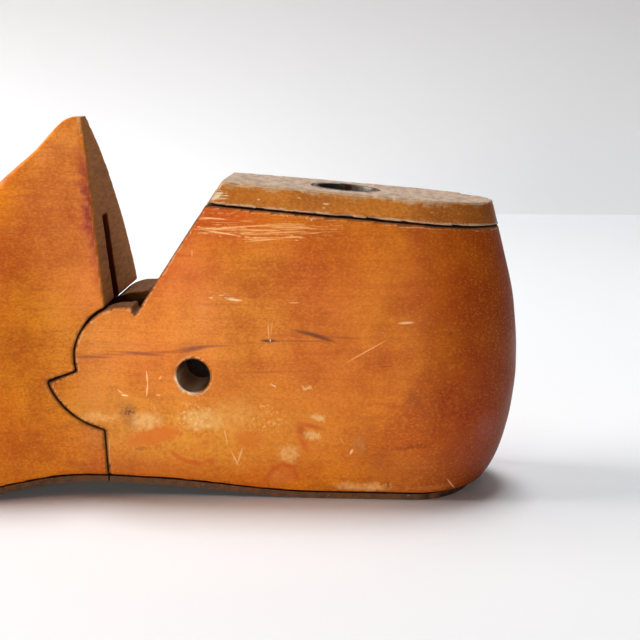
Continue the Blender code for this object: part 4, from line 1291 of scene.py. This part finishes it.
@dataclass
class CarvedWood:
    """One wooden piece: the body's form inside a region, less what is cut from it.

    The solids are cut as meshes, remeshed to even small quads and relaxed, which rounds each sharp
    edge as years of handling do. Then a smooth random field dents the surface a little.
    """

    name: str
    form: LastForm
    region: Prism
    cuts: tuple[Prism | Bore, ...]
    voxel: float
    dent: float = 0.05 * MM
    seed: int = 3
    edge_depth: float = 0.12 * MM
    rim_rounds: int = 5
    chip_size: float = 5 * MM
    dent_size: float = 14 * MM
    cut_reach: float = 0.7
    true_reach: float = 0.6
    even_rounds: int = 3
    bare_span: tuple[float, float] = (0.4, 0.7)
    chip_span: tuple[float, float] = (0.2, 0.9)
    cut_rim: float = 0.35
    gradient_step: float = 0.02 * MM

    def build(self) -> Object:
        """Makes the piece with its layers "bare", on the cut faces, and "rim", along their edges."""
        body = self.form.solid(self.name + "_body")
        region = self.region.mesh(self.name + "_region")
        cuts = [cut.mesh(f"{self.name}_cut_{k}") for k, cut in enumerate(self.cuts)]
        carve(body, "INTERSECT", [region])
        carve(body, "DIFFERENCE", cuts)
        remesh = body.modifiers.new("Even", "REMESH")
        remesh.mode = "VOXEL"
        remesh.voxel_size = self.voxel
        remesh.use_smooth_shade = True
        made = finished_mesh(body, self.name, [region, *cuts])
        self.finish(made)
        return made

    def distances(self, points: np.ndarray) -> np.ndarray:
        """Signed distance of each point to the region and to each cut, one row for each."""
        return np.array([self.region.distance(points)] + [-cut.distance(points) for cut in self.cuts])

    def drawn_true(self, points: np.ndarray) -> np.ndarray:
        """Moves the points beside a cut face onto it.

        A point p at distance d goes to p - d g, where g is the distance's gradient there, taken from
        two small steps along each axis.

        Args:
            points: (n, 3) places.

        Returns:
            The places after the move.
        """
        away = self.distances(points)
        which = np.argmin(np.abs(away), axis=0)
        least = np.abs(away[which, np.arange(len(points))])
        near = np.flatnonzero(least < self.true_reach * self.voxel)
        rows = np.arange(len(near))
        slopes = []
        for axis in np.eye(3) * self.gradient_step:
            ahead, behind = self.distances(points[near] + axis), self.distances(points[near] - axis)
            slopes.append((ahead - behind)[which[near], rows] / (2 * self.gradient_step))
        gradient = np.stack(slopes, axis=-1)
        size = np.maximum((gradient ** 2).sum(axis=1), 0.25)
        moved = points.copy()
        moved[near] -= (away[which[near], near] / size)[:, None] * gradient
        return moved

    def finish(self, made: Object) -> None:
        """Evens the skin, draws the cut faces true, wears their edges and writes the layers."""
        edges = mesh_edges(made)
        points = mesh_points(made)
        least = np.min(np.abs(self.distances(points)), axis=0)
        cut = (least < self.cut_reach * self.voxel).astype(float)
        near = relaxed(cut, edges, 2)
        broad = relaxed(cut, edges, self.rim_rounds)
        rim = np.clip(4 * broad * (1 - broad), 0, 1)
        points = relaxed(points, edges, self.even_rounds, 0.5 * (1 - near))
        points = self.drawn_true(points)
        set_points(made, points)
        normals = mesh_points(made, "normal")
        chips = smooth_step(ripple(points, self.chip_size, self.seed + 1), *self.chip_span) * rim
        dents = ripple(points, self.dent_size, self.seed) * self.dent - self.dent
        set_points(made, points + normals * (dents - chips * self.edge_depth)[:, None])
        set_layer(made, "bare", smooth_step(near, *self.bare_span))
        set_layer(made, "rim", np.where(cut > 0, self.cut_rim * rim, rim))


def turned_piece(name: str, profile: Sequence[tuple[float, float]], start: np.ndarray, axis: np.ndarray,
                 around: int) -> Object:
    """A profile turned about an axis: each point at its radius times the cosine and sine of the turn.

    Args:
        name: the piece's name.
        profile: (radius, height) points in mm from one end round to the other, with the solid on the
            left of the way they run.
        start: the place of height 0.
        axis: unit vector of increasing height.
        around: points in a full turn.

    Returns:
        The closed object.
    """
    radius, height = np.array(profile, float).T * MM
    points = start + radius[:, None, None] * ring_round(axis, around)[None] + height[:, None, None] * axis
    quads = grid_quads(len(radius), around, wrap=True)
    points, triangles = welded(points.reshape(-1, 3), quads, 0.1 * WELD)
    return put_mesh(name, points, facing_out(points, triangles))


def rounded(corners: Sequence[tuple[float, float]], radius: float, steps: int = 4) -> list[tuple[float, float]]:
    """An open profile with each inner corner drawn as a small quadratic curve.

    Args:
        corners: (radius, height) points.
        radius: how far from a corner the curve starts, in the same unit.
        steps: points on each curve, less one.

    Returns:
        The rounded profile.
    """
    given = np.array(corners, float)
    made = [tuple(given[0])]
    for before, corner, after in zip(given, given[1:], given[2:]):
        leave, reach = before - corner, after - corner
        first = corner + leave * min(0.45, radius / max(np.linalg.norm(leave), 1e-9))
        last = corner + reach * min(0.45, radius / max(np.linalg.norm(reach), 1e-9))
        t = np.linspace(0, 1, steps + 1)[:, None]
        made += [tuple(p) for p in (1 - t) ** 2 * first + 2 * (1 - t) * t * corner + t ** 2 * last]
    return made + [tuple(given[-1])]


def facing_out(points: np.ndarray, triangles: np.ndarray) -> np.ndarray:
    """Turns every triangle round where the solid's volume, summed from the origin, is negative."""
    a, b, c = (points[triangles[:, k]] for k in range(3))
    volume = np.einsum("ij,ij->i", a, np.cross(b, c)).sum()
    return triangles if volume > 0 else triangles[:, ::-1]


@dataclass
class WoodenHalves:
    """The three wooden pieces and the holes in them."""

    form: LastForm
    joint: JointForm
    hinge_side: float = -2.0 * MM
    kerf_half: float = 3.0 * MM
    kerf_top: float = 73.3 * MM
    strap_end: float = 42.3 * MM
    strap_half: float = 6.5 * MM
    strap_eye: float = 8.0 * MM
    slot_half: float = 8.0 * MM
    slot_room: float = 2.0 * MM
    seat_gap: float = 0.3 * MM
    hook_radius: float = 4.5 * MM
    hook_back: float = 20.0 * MM
    hook_drop: float = 4.2 * MM
    pin_radius: float = 3.15 * MM
    pin_reach: float = 31.6 * MM
    socket_radius: float = 9.45 * MM
    socket_depth: float = 46.3 * MM
    socket_back: float = 59.2 * MM

    def kerf(self) -> Prism:
        """The saw kerf that takes the strap and rises up the forepart's face."""
        x, z, far = self.form.pivot_x, self.joint.pivot_z, self.joint.far
        low, high = z - self.strap_half - self.seat_gap, z + self.strap_half + self.slot_room
        end, rise = x - self.strap_end, x - self.strap_eye - 2 * self.strap_half
        outline = ((end, low), (far, low), (far, self.kerf_top), (rise, self.kerf_top),
                   (rise - self.slot_room, high), (end, high))
        return Prism(outline, self.hinge_side - self.form.middle, self.kerf_half)

    def tongue_slot(self) -> Prism:
        """The slot in the heel's tongue, open towards the forepart and up into the V."""
        reach, far = self.strap_eye + self.slot_room, self.joint.far
        back, low = self.form.pivot_x + reach, self.joint.pivot_z - reach
        return Prism(((-far, low), (back, low), (back, far), (-far, far)),
                     self.hinge_side - self.form.middle, self.slot_half)

    def cross_bore(self, x: float, z: float, radius: float, reach: float, middle: float) -> Bore:
        """A bore straight across the foot."""
        return Bore((x, middle - self.form.middle - reach / 2, z), (0.0, 1.0, 0.0), radius, reach)

    def socket_place(self, back: float) -> tuple[np.ndarray, np.ndarray]:
        """The place on the slab's top so far back from the pin, and the direction square to that top."""
        slope = self.joint.slab_slope
        front = self.joint.slab_front
        x = front + (back - (front - self.form.pivot_x)) * math.cos(slope)
        place = np.array([x, -self.form.middle, self.joint.slab_top(x)])
        return place, np.array([-math.sin(slope), 0.0, math.cos(slope)])

    def socket_hole(self) -> Bore:
        """The round hole for the socket tube, open upwards."""
        place, up = self.socket_place(self.socket_back)
        start = place - up * self.socket_depth
        return Bore(tuple(start), tuple(up), self.socket_radius, self.socket_depth + 0.1)

    def build(self, stain_fore: StainedMaple, stain_heel: StainedMaple, slab: WornSlabMaple) -> None:
        """Makes and dresses the forepart, the heel block and the slab."""
        x, z, side = self.form.pivot_x, self.joint.pivot_z, self.hinge_side
        pin = self.cross_bore(x, z, self.pin_radius, self.pin_reach, side)
        hook = self.cross_bore(x + self.hook_back, z - self.hook_drop, self.hook_radius, 0.4, 0.0)
        pieces = (
            (CarvedWood("forepart_wood", self.form, Prism(self.joint.fore()), (self.kerf(),),
                        0.62 * MM, seed=11),
             stain_fore, "fore", "orange_maple", "forepart"),
            (CarvedWood("heel_block_wood", self.form, Prism(self.joint.heel()),
                        (self.tongue_slot(), pin, hook, self.socket_hole()), 0.56 * MM, seed=23),
             stain_heel, "heel", "orange_maple", "heel_block"),
            (CarvedWood("heel_slab_wood", self.form, Prism(self.joint.slab()), (self.socket_hole(),),
                        0.34 * MM, seed=37, edge_depth=0.7 * MM, rim_rounds=14),
             slab, "heel", "slab_maple", "heel_slab"),
        )
        for carved, finish, body, slot, cad_node in pieces:
            dress(carved.build(), finish.material(), body, slot, cad_node)


@dataclass
class SoleIron:
    """The two iron plates under the sole and the countersunk nails that hold them."""

    form: LastForm
    joint: JointForm
    thickness: float = 1.6 * MM
    inset: float = 0.4 * MM
    heel_end_inset: float = 2.9 * MM
    sheet_rows: tuple[int, int, int] = (36, 140, 36)
    sheet_columns: int = 26
    edge_wear: float = 0.08 * MM
    edge_wear_size: float = 3 * MM
    edge_seed: int = 5
    sharp_edge: float = math.radians(40)
    nail_hole: Pairs = (
        (0, -0.5), (2.8, -0.5), (2.8, 0.0), (1.4, 1.4), (1.4, 3.0), (0, 3.0))
    nail: Pairs = (
        (0, 0.05), (1.2, 0.0), (2.2, 0.05), (2.5, 0.25), (1.3, 1.2), (1.1, 1.6), (1.1, 10.7), (0.4, 13.4),
        (0, 14.0))

    def heads(self, half: str) -> list[tuple[str, np.ndarray]]:
        """Each nail's CAD node and the middle of its head's underside, from the frame."""
        found = []
        for name in sorted(frame["nodes"]):
            if name.startswith(half + "_nail_"):
                low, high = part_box(name)
                found.append((name, np.array([(low.x + high.x) / 2, (low.y + high.y) / 2, low.z])))
        return found

    def plate(self, half: str, outline: Pairs, iron: Material) -> None:
        """Makes one plate: the sole's sheet, bent to the underside's curve, thickened and drilled."""
        sheet = self.form.sole_rows(self.sheet_rows, self.sheet_columns, self.inset, self.heel_end_inset)
        rough = ripple(sheet.reshape(-1, 3), self.edge_wear_size, self.edge_seed).reshape(sheet.shape[:2])
        sheet[:, [0, -1], 1] += rough[:, [0, -1]] * self.edge_wear
        sheet[..., 2] = self.form.curves["underside"](self.form.share(sheet[..., 0])) + self.thickness / 2
        rows, columns = sheet.shape[:2]
        points, triangles = welded(sheet.reshape(-1, 3), grid_quads(rows, columns, wrap=False), WELD)
        plate = put_mesh(half + "_sheet", points, triangles)
        wall = plate.modifiers.new("Wall", "SOLIDIFY")
        wall.thickness = self.thickness
        wall.offset = 0.0
        keep = Prism(outline).mesh(half + "_keep")
        holes = [turned_piece(name + "_hole", self.nail_hole, head, UP, around=24)
                 for name, head in self.heads(half)]
        carve(plate, "INTERSECT", [keep])
        carve(plate, "DIFFERENCE", holes)
        made = finished_mesh(plate, half + "_plate_iron", [keep, *holes])
        made.data.set_sharp_from_angle(angle=self.sharp_edge)
        dress(made, iron, half, "sole_plate", half + "_plate")

    def build(self, iron: Material, steel: Material) -> None:
        """Makes both plates and every nail in them."""
        for half, outline in (("fore", self.joint.fore()), ("heel", self.joint.heel())):
            self.plate(half, outline, iron)
            for name, head in self.heads(half):
                made = turned_piece(name + "_steel", self.nail, head, UP, around=28)
                dress(made, steel, half, "nail_steel", name)


@dataclass
class HeelTop:
    """The steel tube of the jack socket and the slab's four nails."""

    halves: WoodenHalves
    bore: float = 7.95
    wall: float = 1.2
    depth: float = 46.0
    lip: float = 0.45
    nail_end: float = 7.0 * MM
    nail_gauge: float = 9.0 * MM
    nail: Pairs = (
        (0, -0.16), (1.3, -0.13), (2.2, -0.18), (2.45, -0.4), (1.3, -1.4), (1.1, -1.8), (1.1, -18.8),
        (0.4, -21.4), (0, -22.0))

    def build(self, socket: Material, steel: Material) -> None:
        """Makes the tube, its lips rounded, and the nails, their heads a little sunk."""
        place, up = self.halves.socket_place(self.halves.socket_back)
        inner, outer = self.bore, self.bore + self.wall
        corners = [(inner, -self.depth / 2), (inner, 0), (outer, 0), (outer, -self.depth), (inner, -self.depth),
                   (inner, -self.depth / 2)]
        tube = turned_piece("socket_tube_steel", rounded(corners, self.lip), place, up, around=72)
        dress(tube, socket, "heel", "socket_steel", "socket_tube")
        joint, form = self.halves.joint, self.halves.form
        front = joint.slab_front - form.pivot_x
        back_edge = form.heel_x - float(form.curves["heel_inset"](joint.slab_top(form.heel_x)))
        length = (back_edge - joint.slab_front) / math.cos(joint.slab_slope)
        number = 0
        for back in (self.nail_end, length - self.nail_end):
            for side in (-self.nail_gauge / 2, self.nail_gauge / 2):
                number += 1
                place, up = self.halves.socket_place(front + back)
                head = place + [0.0, side, 0.0]
                made = turned_piece(f"slab_nail_{number}_steel", self.nail, head, up, around=28)
                dress(made, steel, "heel", "nail_steel", f"slab_nail_{number}")


@dataclass
class HingeWork:
    """The flat strap, the pin in its eye, the washers beside it and the pins that hold it."""

    halves: WoodenHalves
    strap_half_height: float = 6.5
    strap_half_thickness: float = 2.0
    eye: float = 8.0
    pin: float = 3.0
    pin_gap: float = 0.15
    strap_pin: float = 2.5
    pin_length: float = 31.0
    length: float = 42.0
    corner: float = 2.0
    pin_from_end: float = 7.0
    pin_spacing: float = 17.0
    slot: float = 16.0
    seat_gap: float = 0.3
    rounding: float = 0.5
    broken_edge: float = 0.35 * MM
    drill_reach: float = 0.05

    def across_piece(self, name: str, x: float, middle: float, profile: Sequence[tuple[float, float]],
                     around: int) -> Object:
        """A turned piece that lies across the foot at the pin's height."""
        start = np.array([x, middle - self.halves.form.middle, self.halves.joint.pivot_z])
        return turned_piece(name, profile, start, ACROSS, around)

    def strap(self) -> Object:
        """The strap: its outline carried across, drilled, its edges broken."""
        joint, x, z = self.halves.joint, self.halves.form.pivot_x, self.halves.joint.pivot_z
        half, end, corner = self.strap_half_height * MM, x - self.length * MM, self.corner * MM
        open_angle = math.asin(self.strap_half_height / self.eye)
        eye = joint.arc(self.eye * MM, -math.pi + open_angle, math.pi - open_angle, 48)
        outline = ((end, z + half - corner), (end, z - half + corner), (end + corner, z - half), *eye,
                   (end + corner, z + half))
        side = self.halves.hinge_side
        blank = Prism(outline, side - self.halves.form.middle, self.strap_half_thickness * MM)
        body = blank.mesh("strap_blank")
        first = end + self.pin_from_end * MM
        holes = [(x, self.pin), (first, self.strap_pin), (first + self.pin_spacing * MM, self.strap_pin)]
        drills = []
        for hole_x, radius in holes:
            bore = self.halves.cross_bore(hole_x, z, (radius + self.pin_gap) * MM, self.drill_reach, side)
            drills.append(bore.mesh("drill"))
        carve(body, "DIFFERENCE", drills)
        edge = body.modifiers.new("Edge", "BEVEL")
        edge.width = self.broken_edge
        edge.segments = 2
        edge.limit_method = "ANGLE"
        edge.angle_limit = math.radians(50)
        made = finished_mesh(body, "hinge_strap_steel", drills)
        made.data.set_sharp_from_angle(angle=math.radians(35))
        return made

    def build(self, steel: Material) -> None:
        """Makes every piece of the hinge."""
        dress(self.strap(), steel, "fore", "hinge_steel", "hinge_strap")
        x, side = self.halves.form.pivot_x, self.halves.hinge_side
        half = self.pin_length / 2
        rod = [(0, -half), (self.pin, -half), (self.pin, half), (0, half)]
        made = self.across_piece("hinge_pin_steel", x, side, rounded(rod, self.rounding), around=40)
        dress(made, steel, "heel", "hinge_steel", "hinge_pin")
        first = x - self.length * MM + self.pin_from_end * MM
        rod = [(0, -half), (self.strap_pin, -half), (self.strap_pin, half), (0, half)]
        for name, place in (("strap_pin_front", first), ("strap_pin_back", first + self.pin_spacing * MM)):
            made = self.across_piece(name + "_steel", place, side, rounded(rod, self.rounding), around=32)
            dress(made, steel, "fore", "hinge_steel", name)
        long = (self.slot - 2 * self.strap_half_thickness) / 2 - 2 * self.seat_gap
        bore, outer = self.pin + self.pin_gap, self.strap_half_height
        ring = [(bore, 0), (bore, -long / 2), (outer, -long / 2), (outer, long / 2), (bore, long / 2),
                (bore, 0)]
        for name, way in (("hinge_spacer_inner", -1), ("hinge_spacer_outer", 1)):
            middle = side + way * (self.strap_half_thickness + self.seat_gap + long / 2) * MM
            made = self.across_piece(name + "_steel", x, middle, rounded(ring, self.rounding), around=56)
            dress(made, steel, "heel", "hinge_steel", name)


@dataclass(frozen=True)
class Lamp:
    """A square soft lamp that looks at the last's middle."""

    name: str
    place: tuple[float, float, float]
    size: float
    watts: float
    colour: str = "#ffffff"
    aim: tuple[float, float, float] = (0.03, 0.0, 0.05)

    def build(self) -> None:
        """Hangs the lamp."""
        light = bpy.data.lights.new(self.name, "AREA")
        light.size = self.size
        light.energy = self.watts
        light.color = linear(self.colour)[:3]
        lamp = bpy.data.objects.new(self.name, light)
        lamp.location = self.place
        lamp.rotation_euler = looking(Vector(self.aim) - Vector(self.place))
        bpy.context.scene.collection.objects.link(lamp)


def looking(way: Vector) -> Euler:
    """The turn of a lamp or a camera that looks along a way, upright."""
    return way.to_track_quat("-Z", "Y").to_euler()


@dataclass
class Studio:
    """The pale sweep that the last stands on, the soft lamps and the camera."""

    near: float = -1.6
    far: float = 0.62
    bend: float = 0.001
    top: float = 1.6
    half_width: float = 2.2
    fade: float = 0.16
    table: str = "#e2e5e9"
    backdrop: str = "#b8b9bc"
    dull: float = 0.6
    shine: float = 0.2
    lamps: tuple[Lamp, ...] = (
        Lamp("key_softbox", (-0.88, 0.04, 0.46), 0.55, 13.5, "#fff9f2"),
        Lamp("front_softbox", (-0.30, -1.2, 0.04), 0.5, 14.8, "#fff6ec"),
        Lamp("back_softbox", (0.12, 0.23, 0.95), 0.3, 6.4),
    )
    air: str = "#f2f3f5"
    air_strength: float = 0.04
    eye: tuple[float, float, float] = (82.18, -379.05, 118.91)
    azimuth: float = math.radians(3.5)
    elevation: float = math.radians(11.1)
    focal: float = 1402.17
    frame_pixels: float = 640.0
    sensor: float = 36.0

    def sweep(self) -> None:
        """The floor that bends up into a backdrop: a straight run, a quarter circle and a straight rise."""
        turn = np.linspace(0, math.pi / 2, 24)
        y = np.concatenate([[self.near, self.far], self.far + self.bend * np.sin(turn), [self.far + self.bend]])
        z = np.concatenate([[0, 0], self.bend * (1 - np.cos(turn)), [self.top]])
        x = np.linspace(-self.half_width, self.half_width, 3)
        points = np.stack(np.broadcast_arrays(x[None, :], y[:, None], z[:, None]), axis=-1)
        floor = put_mesh("studio_sweep", points.reshape(-1, 3), grid_quads(len(y), len(x), wrap=False))
        made, tree, shader = blank_material("table_and_backdrop")
        height = node(tree, "SeparateXYZ", {0: node(tree, "TexCoord").outputs["Object"]}).outputs["Z"]
        colour = mixed(tree, Ramp(0.0, self.fade).of(tree, height), linear(self.table), linear(self.backdrop))
        feed(tree, shader, {"Base Color": colour, "Roughness": self.dull, "Specular IOR Level": self.shine})
        floor.data.materials.append(made)

    def camera(self) -> None:
        """Puts the camera at the photograph's place and makes it the scene's own."""
        lens = bpy.data.cameras.new("camera")
        lens.sensor_width = self.sensor
        lens.lens = self.focal / self.frame_pixels * self.sensor
        lens.clip_start = 0.01
        camera = bpy.data.objects.new("camera", lens)
        camera.location = Vector(self.eye) * MM
        camera.rotation_euler = looking(Vector((
            -math.sin(self.azimuth) * math.cos(self.elevation),
            math.cos(self.azimuth) * math.cos(self.elevation), -math.sin(self.elevation))))
        bpy.context.scene.collection.objects.link(camera)
        bpy.context.scene.camera = camera

    def build(self) -> None:
        """Sets up the sweep, the lamps, the world and the camera."""
        self.sweep()
        for lamp in self.lamps:
            lamp.build()
        world = bpy.data.worlds.new("studio_air")
        world.use_nodes = True
        feed(world.node_tree, world.node_tree.nodes["Background"],
             {"Color": linear(self.air), "Strength": self.air_strength})
        bpy.context.scene.world = world
        self.camera()
        bpy.context.scene.view_settings.view_transform = "Standard"


def clear_startup() -> None:
    """Takes away what a new Blender file holds, and leaves the frame."""
    kept = set(frame["nodes"].values()) | set(frame["bodies"].values())
    for obj in list(bpy.data.objects):
        if obj not in kept:
            bpy.data.objects.remove(obj, do_unlink=True)


def main() -> None:
    """Builds the last's pieces in order, then the studio."""
    logging.basicConfig(level=logging.INFO, format="%(name)s: %(message)s")
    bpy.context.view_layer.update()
    clear_startup()
    form = LastForm()
    joint = JointForm(form)
    halves = WoodenHalves(form, joint)
    halves.build(
        StainedMaple("stained_maple_forepart", FORE_MARKS, bare="#b06c2c", bare_dark="#7e5024", wear=0.2,
                     kerf_shade_top_mm=74.0, dark_start_mm=200, dark_stop_mm=240),
        # the heel's bare faces carry the painted highlight on the hook hole's wall
        StainedMaple("stained_maple_heel", HEEL_MARKS, BORE_PAINTED_HIGHLIGHT),
        WornSlabMaple("worn_slab_maple", SLAB_MARKS),
    )
    iron = AgedIron("oiled_iron_plate", metal="#5a4232", rust="#6c4426", rubbed="#a88a64", rough=0.6,
                    patch_mm=2.5)
    nails = AgedIron("worn_nail_steel", rust_share=0.35)
    socket = AgedIron("browned_socket_steel", metal="#6c6760", rust_share=0.45)
    hinge = AgedIron("oiled_hinge_steel", metal="#77726b", rust_share=0.3)
    SoleIron(form, joint).build(iron.material(), nails.material())
    HeelTop(halves).build(socket.material(), nails.material())
    HingeWork(halves).build(hinge.material())
    Studio().build()


if __name__ == "__main__":
    main()
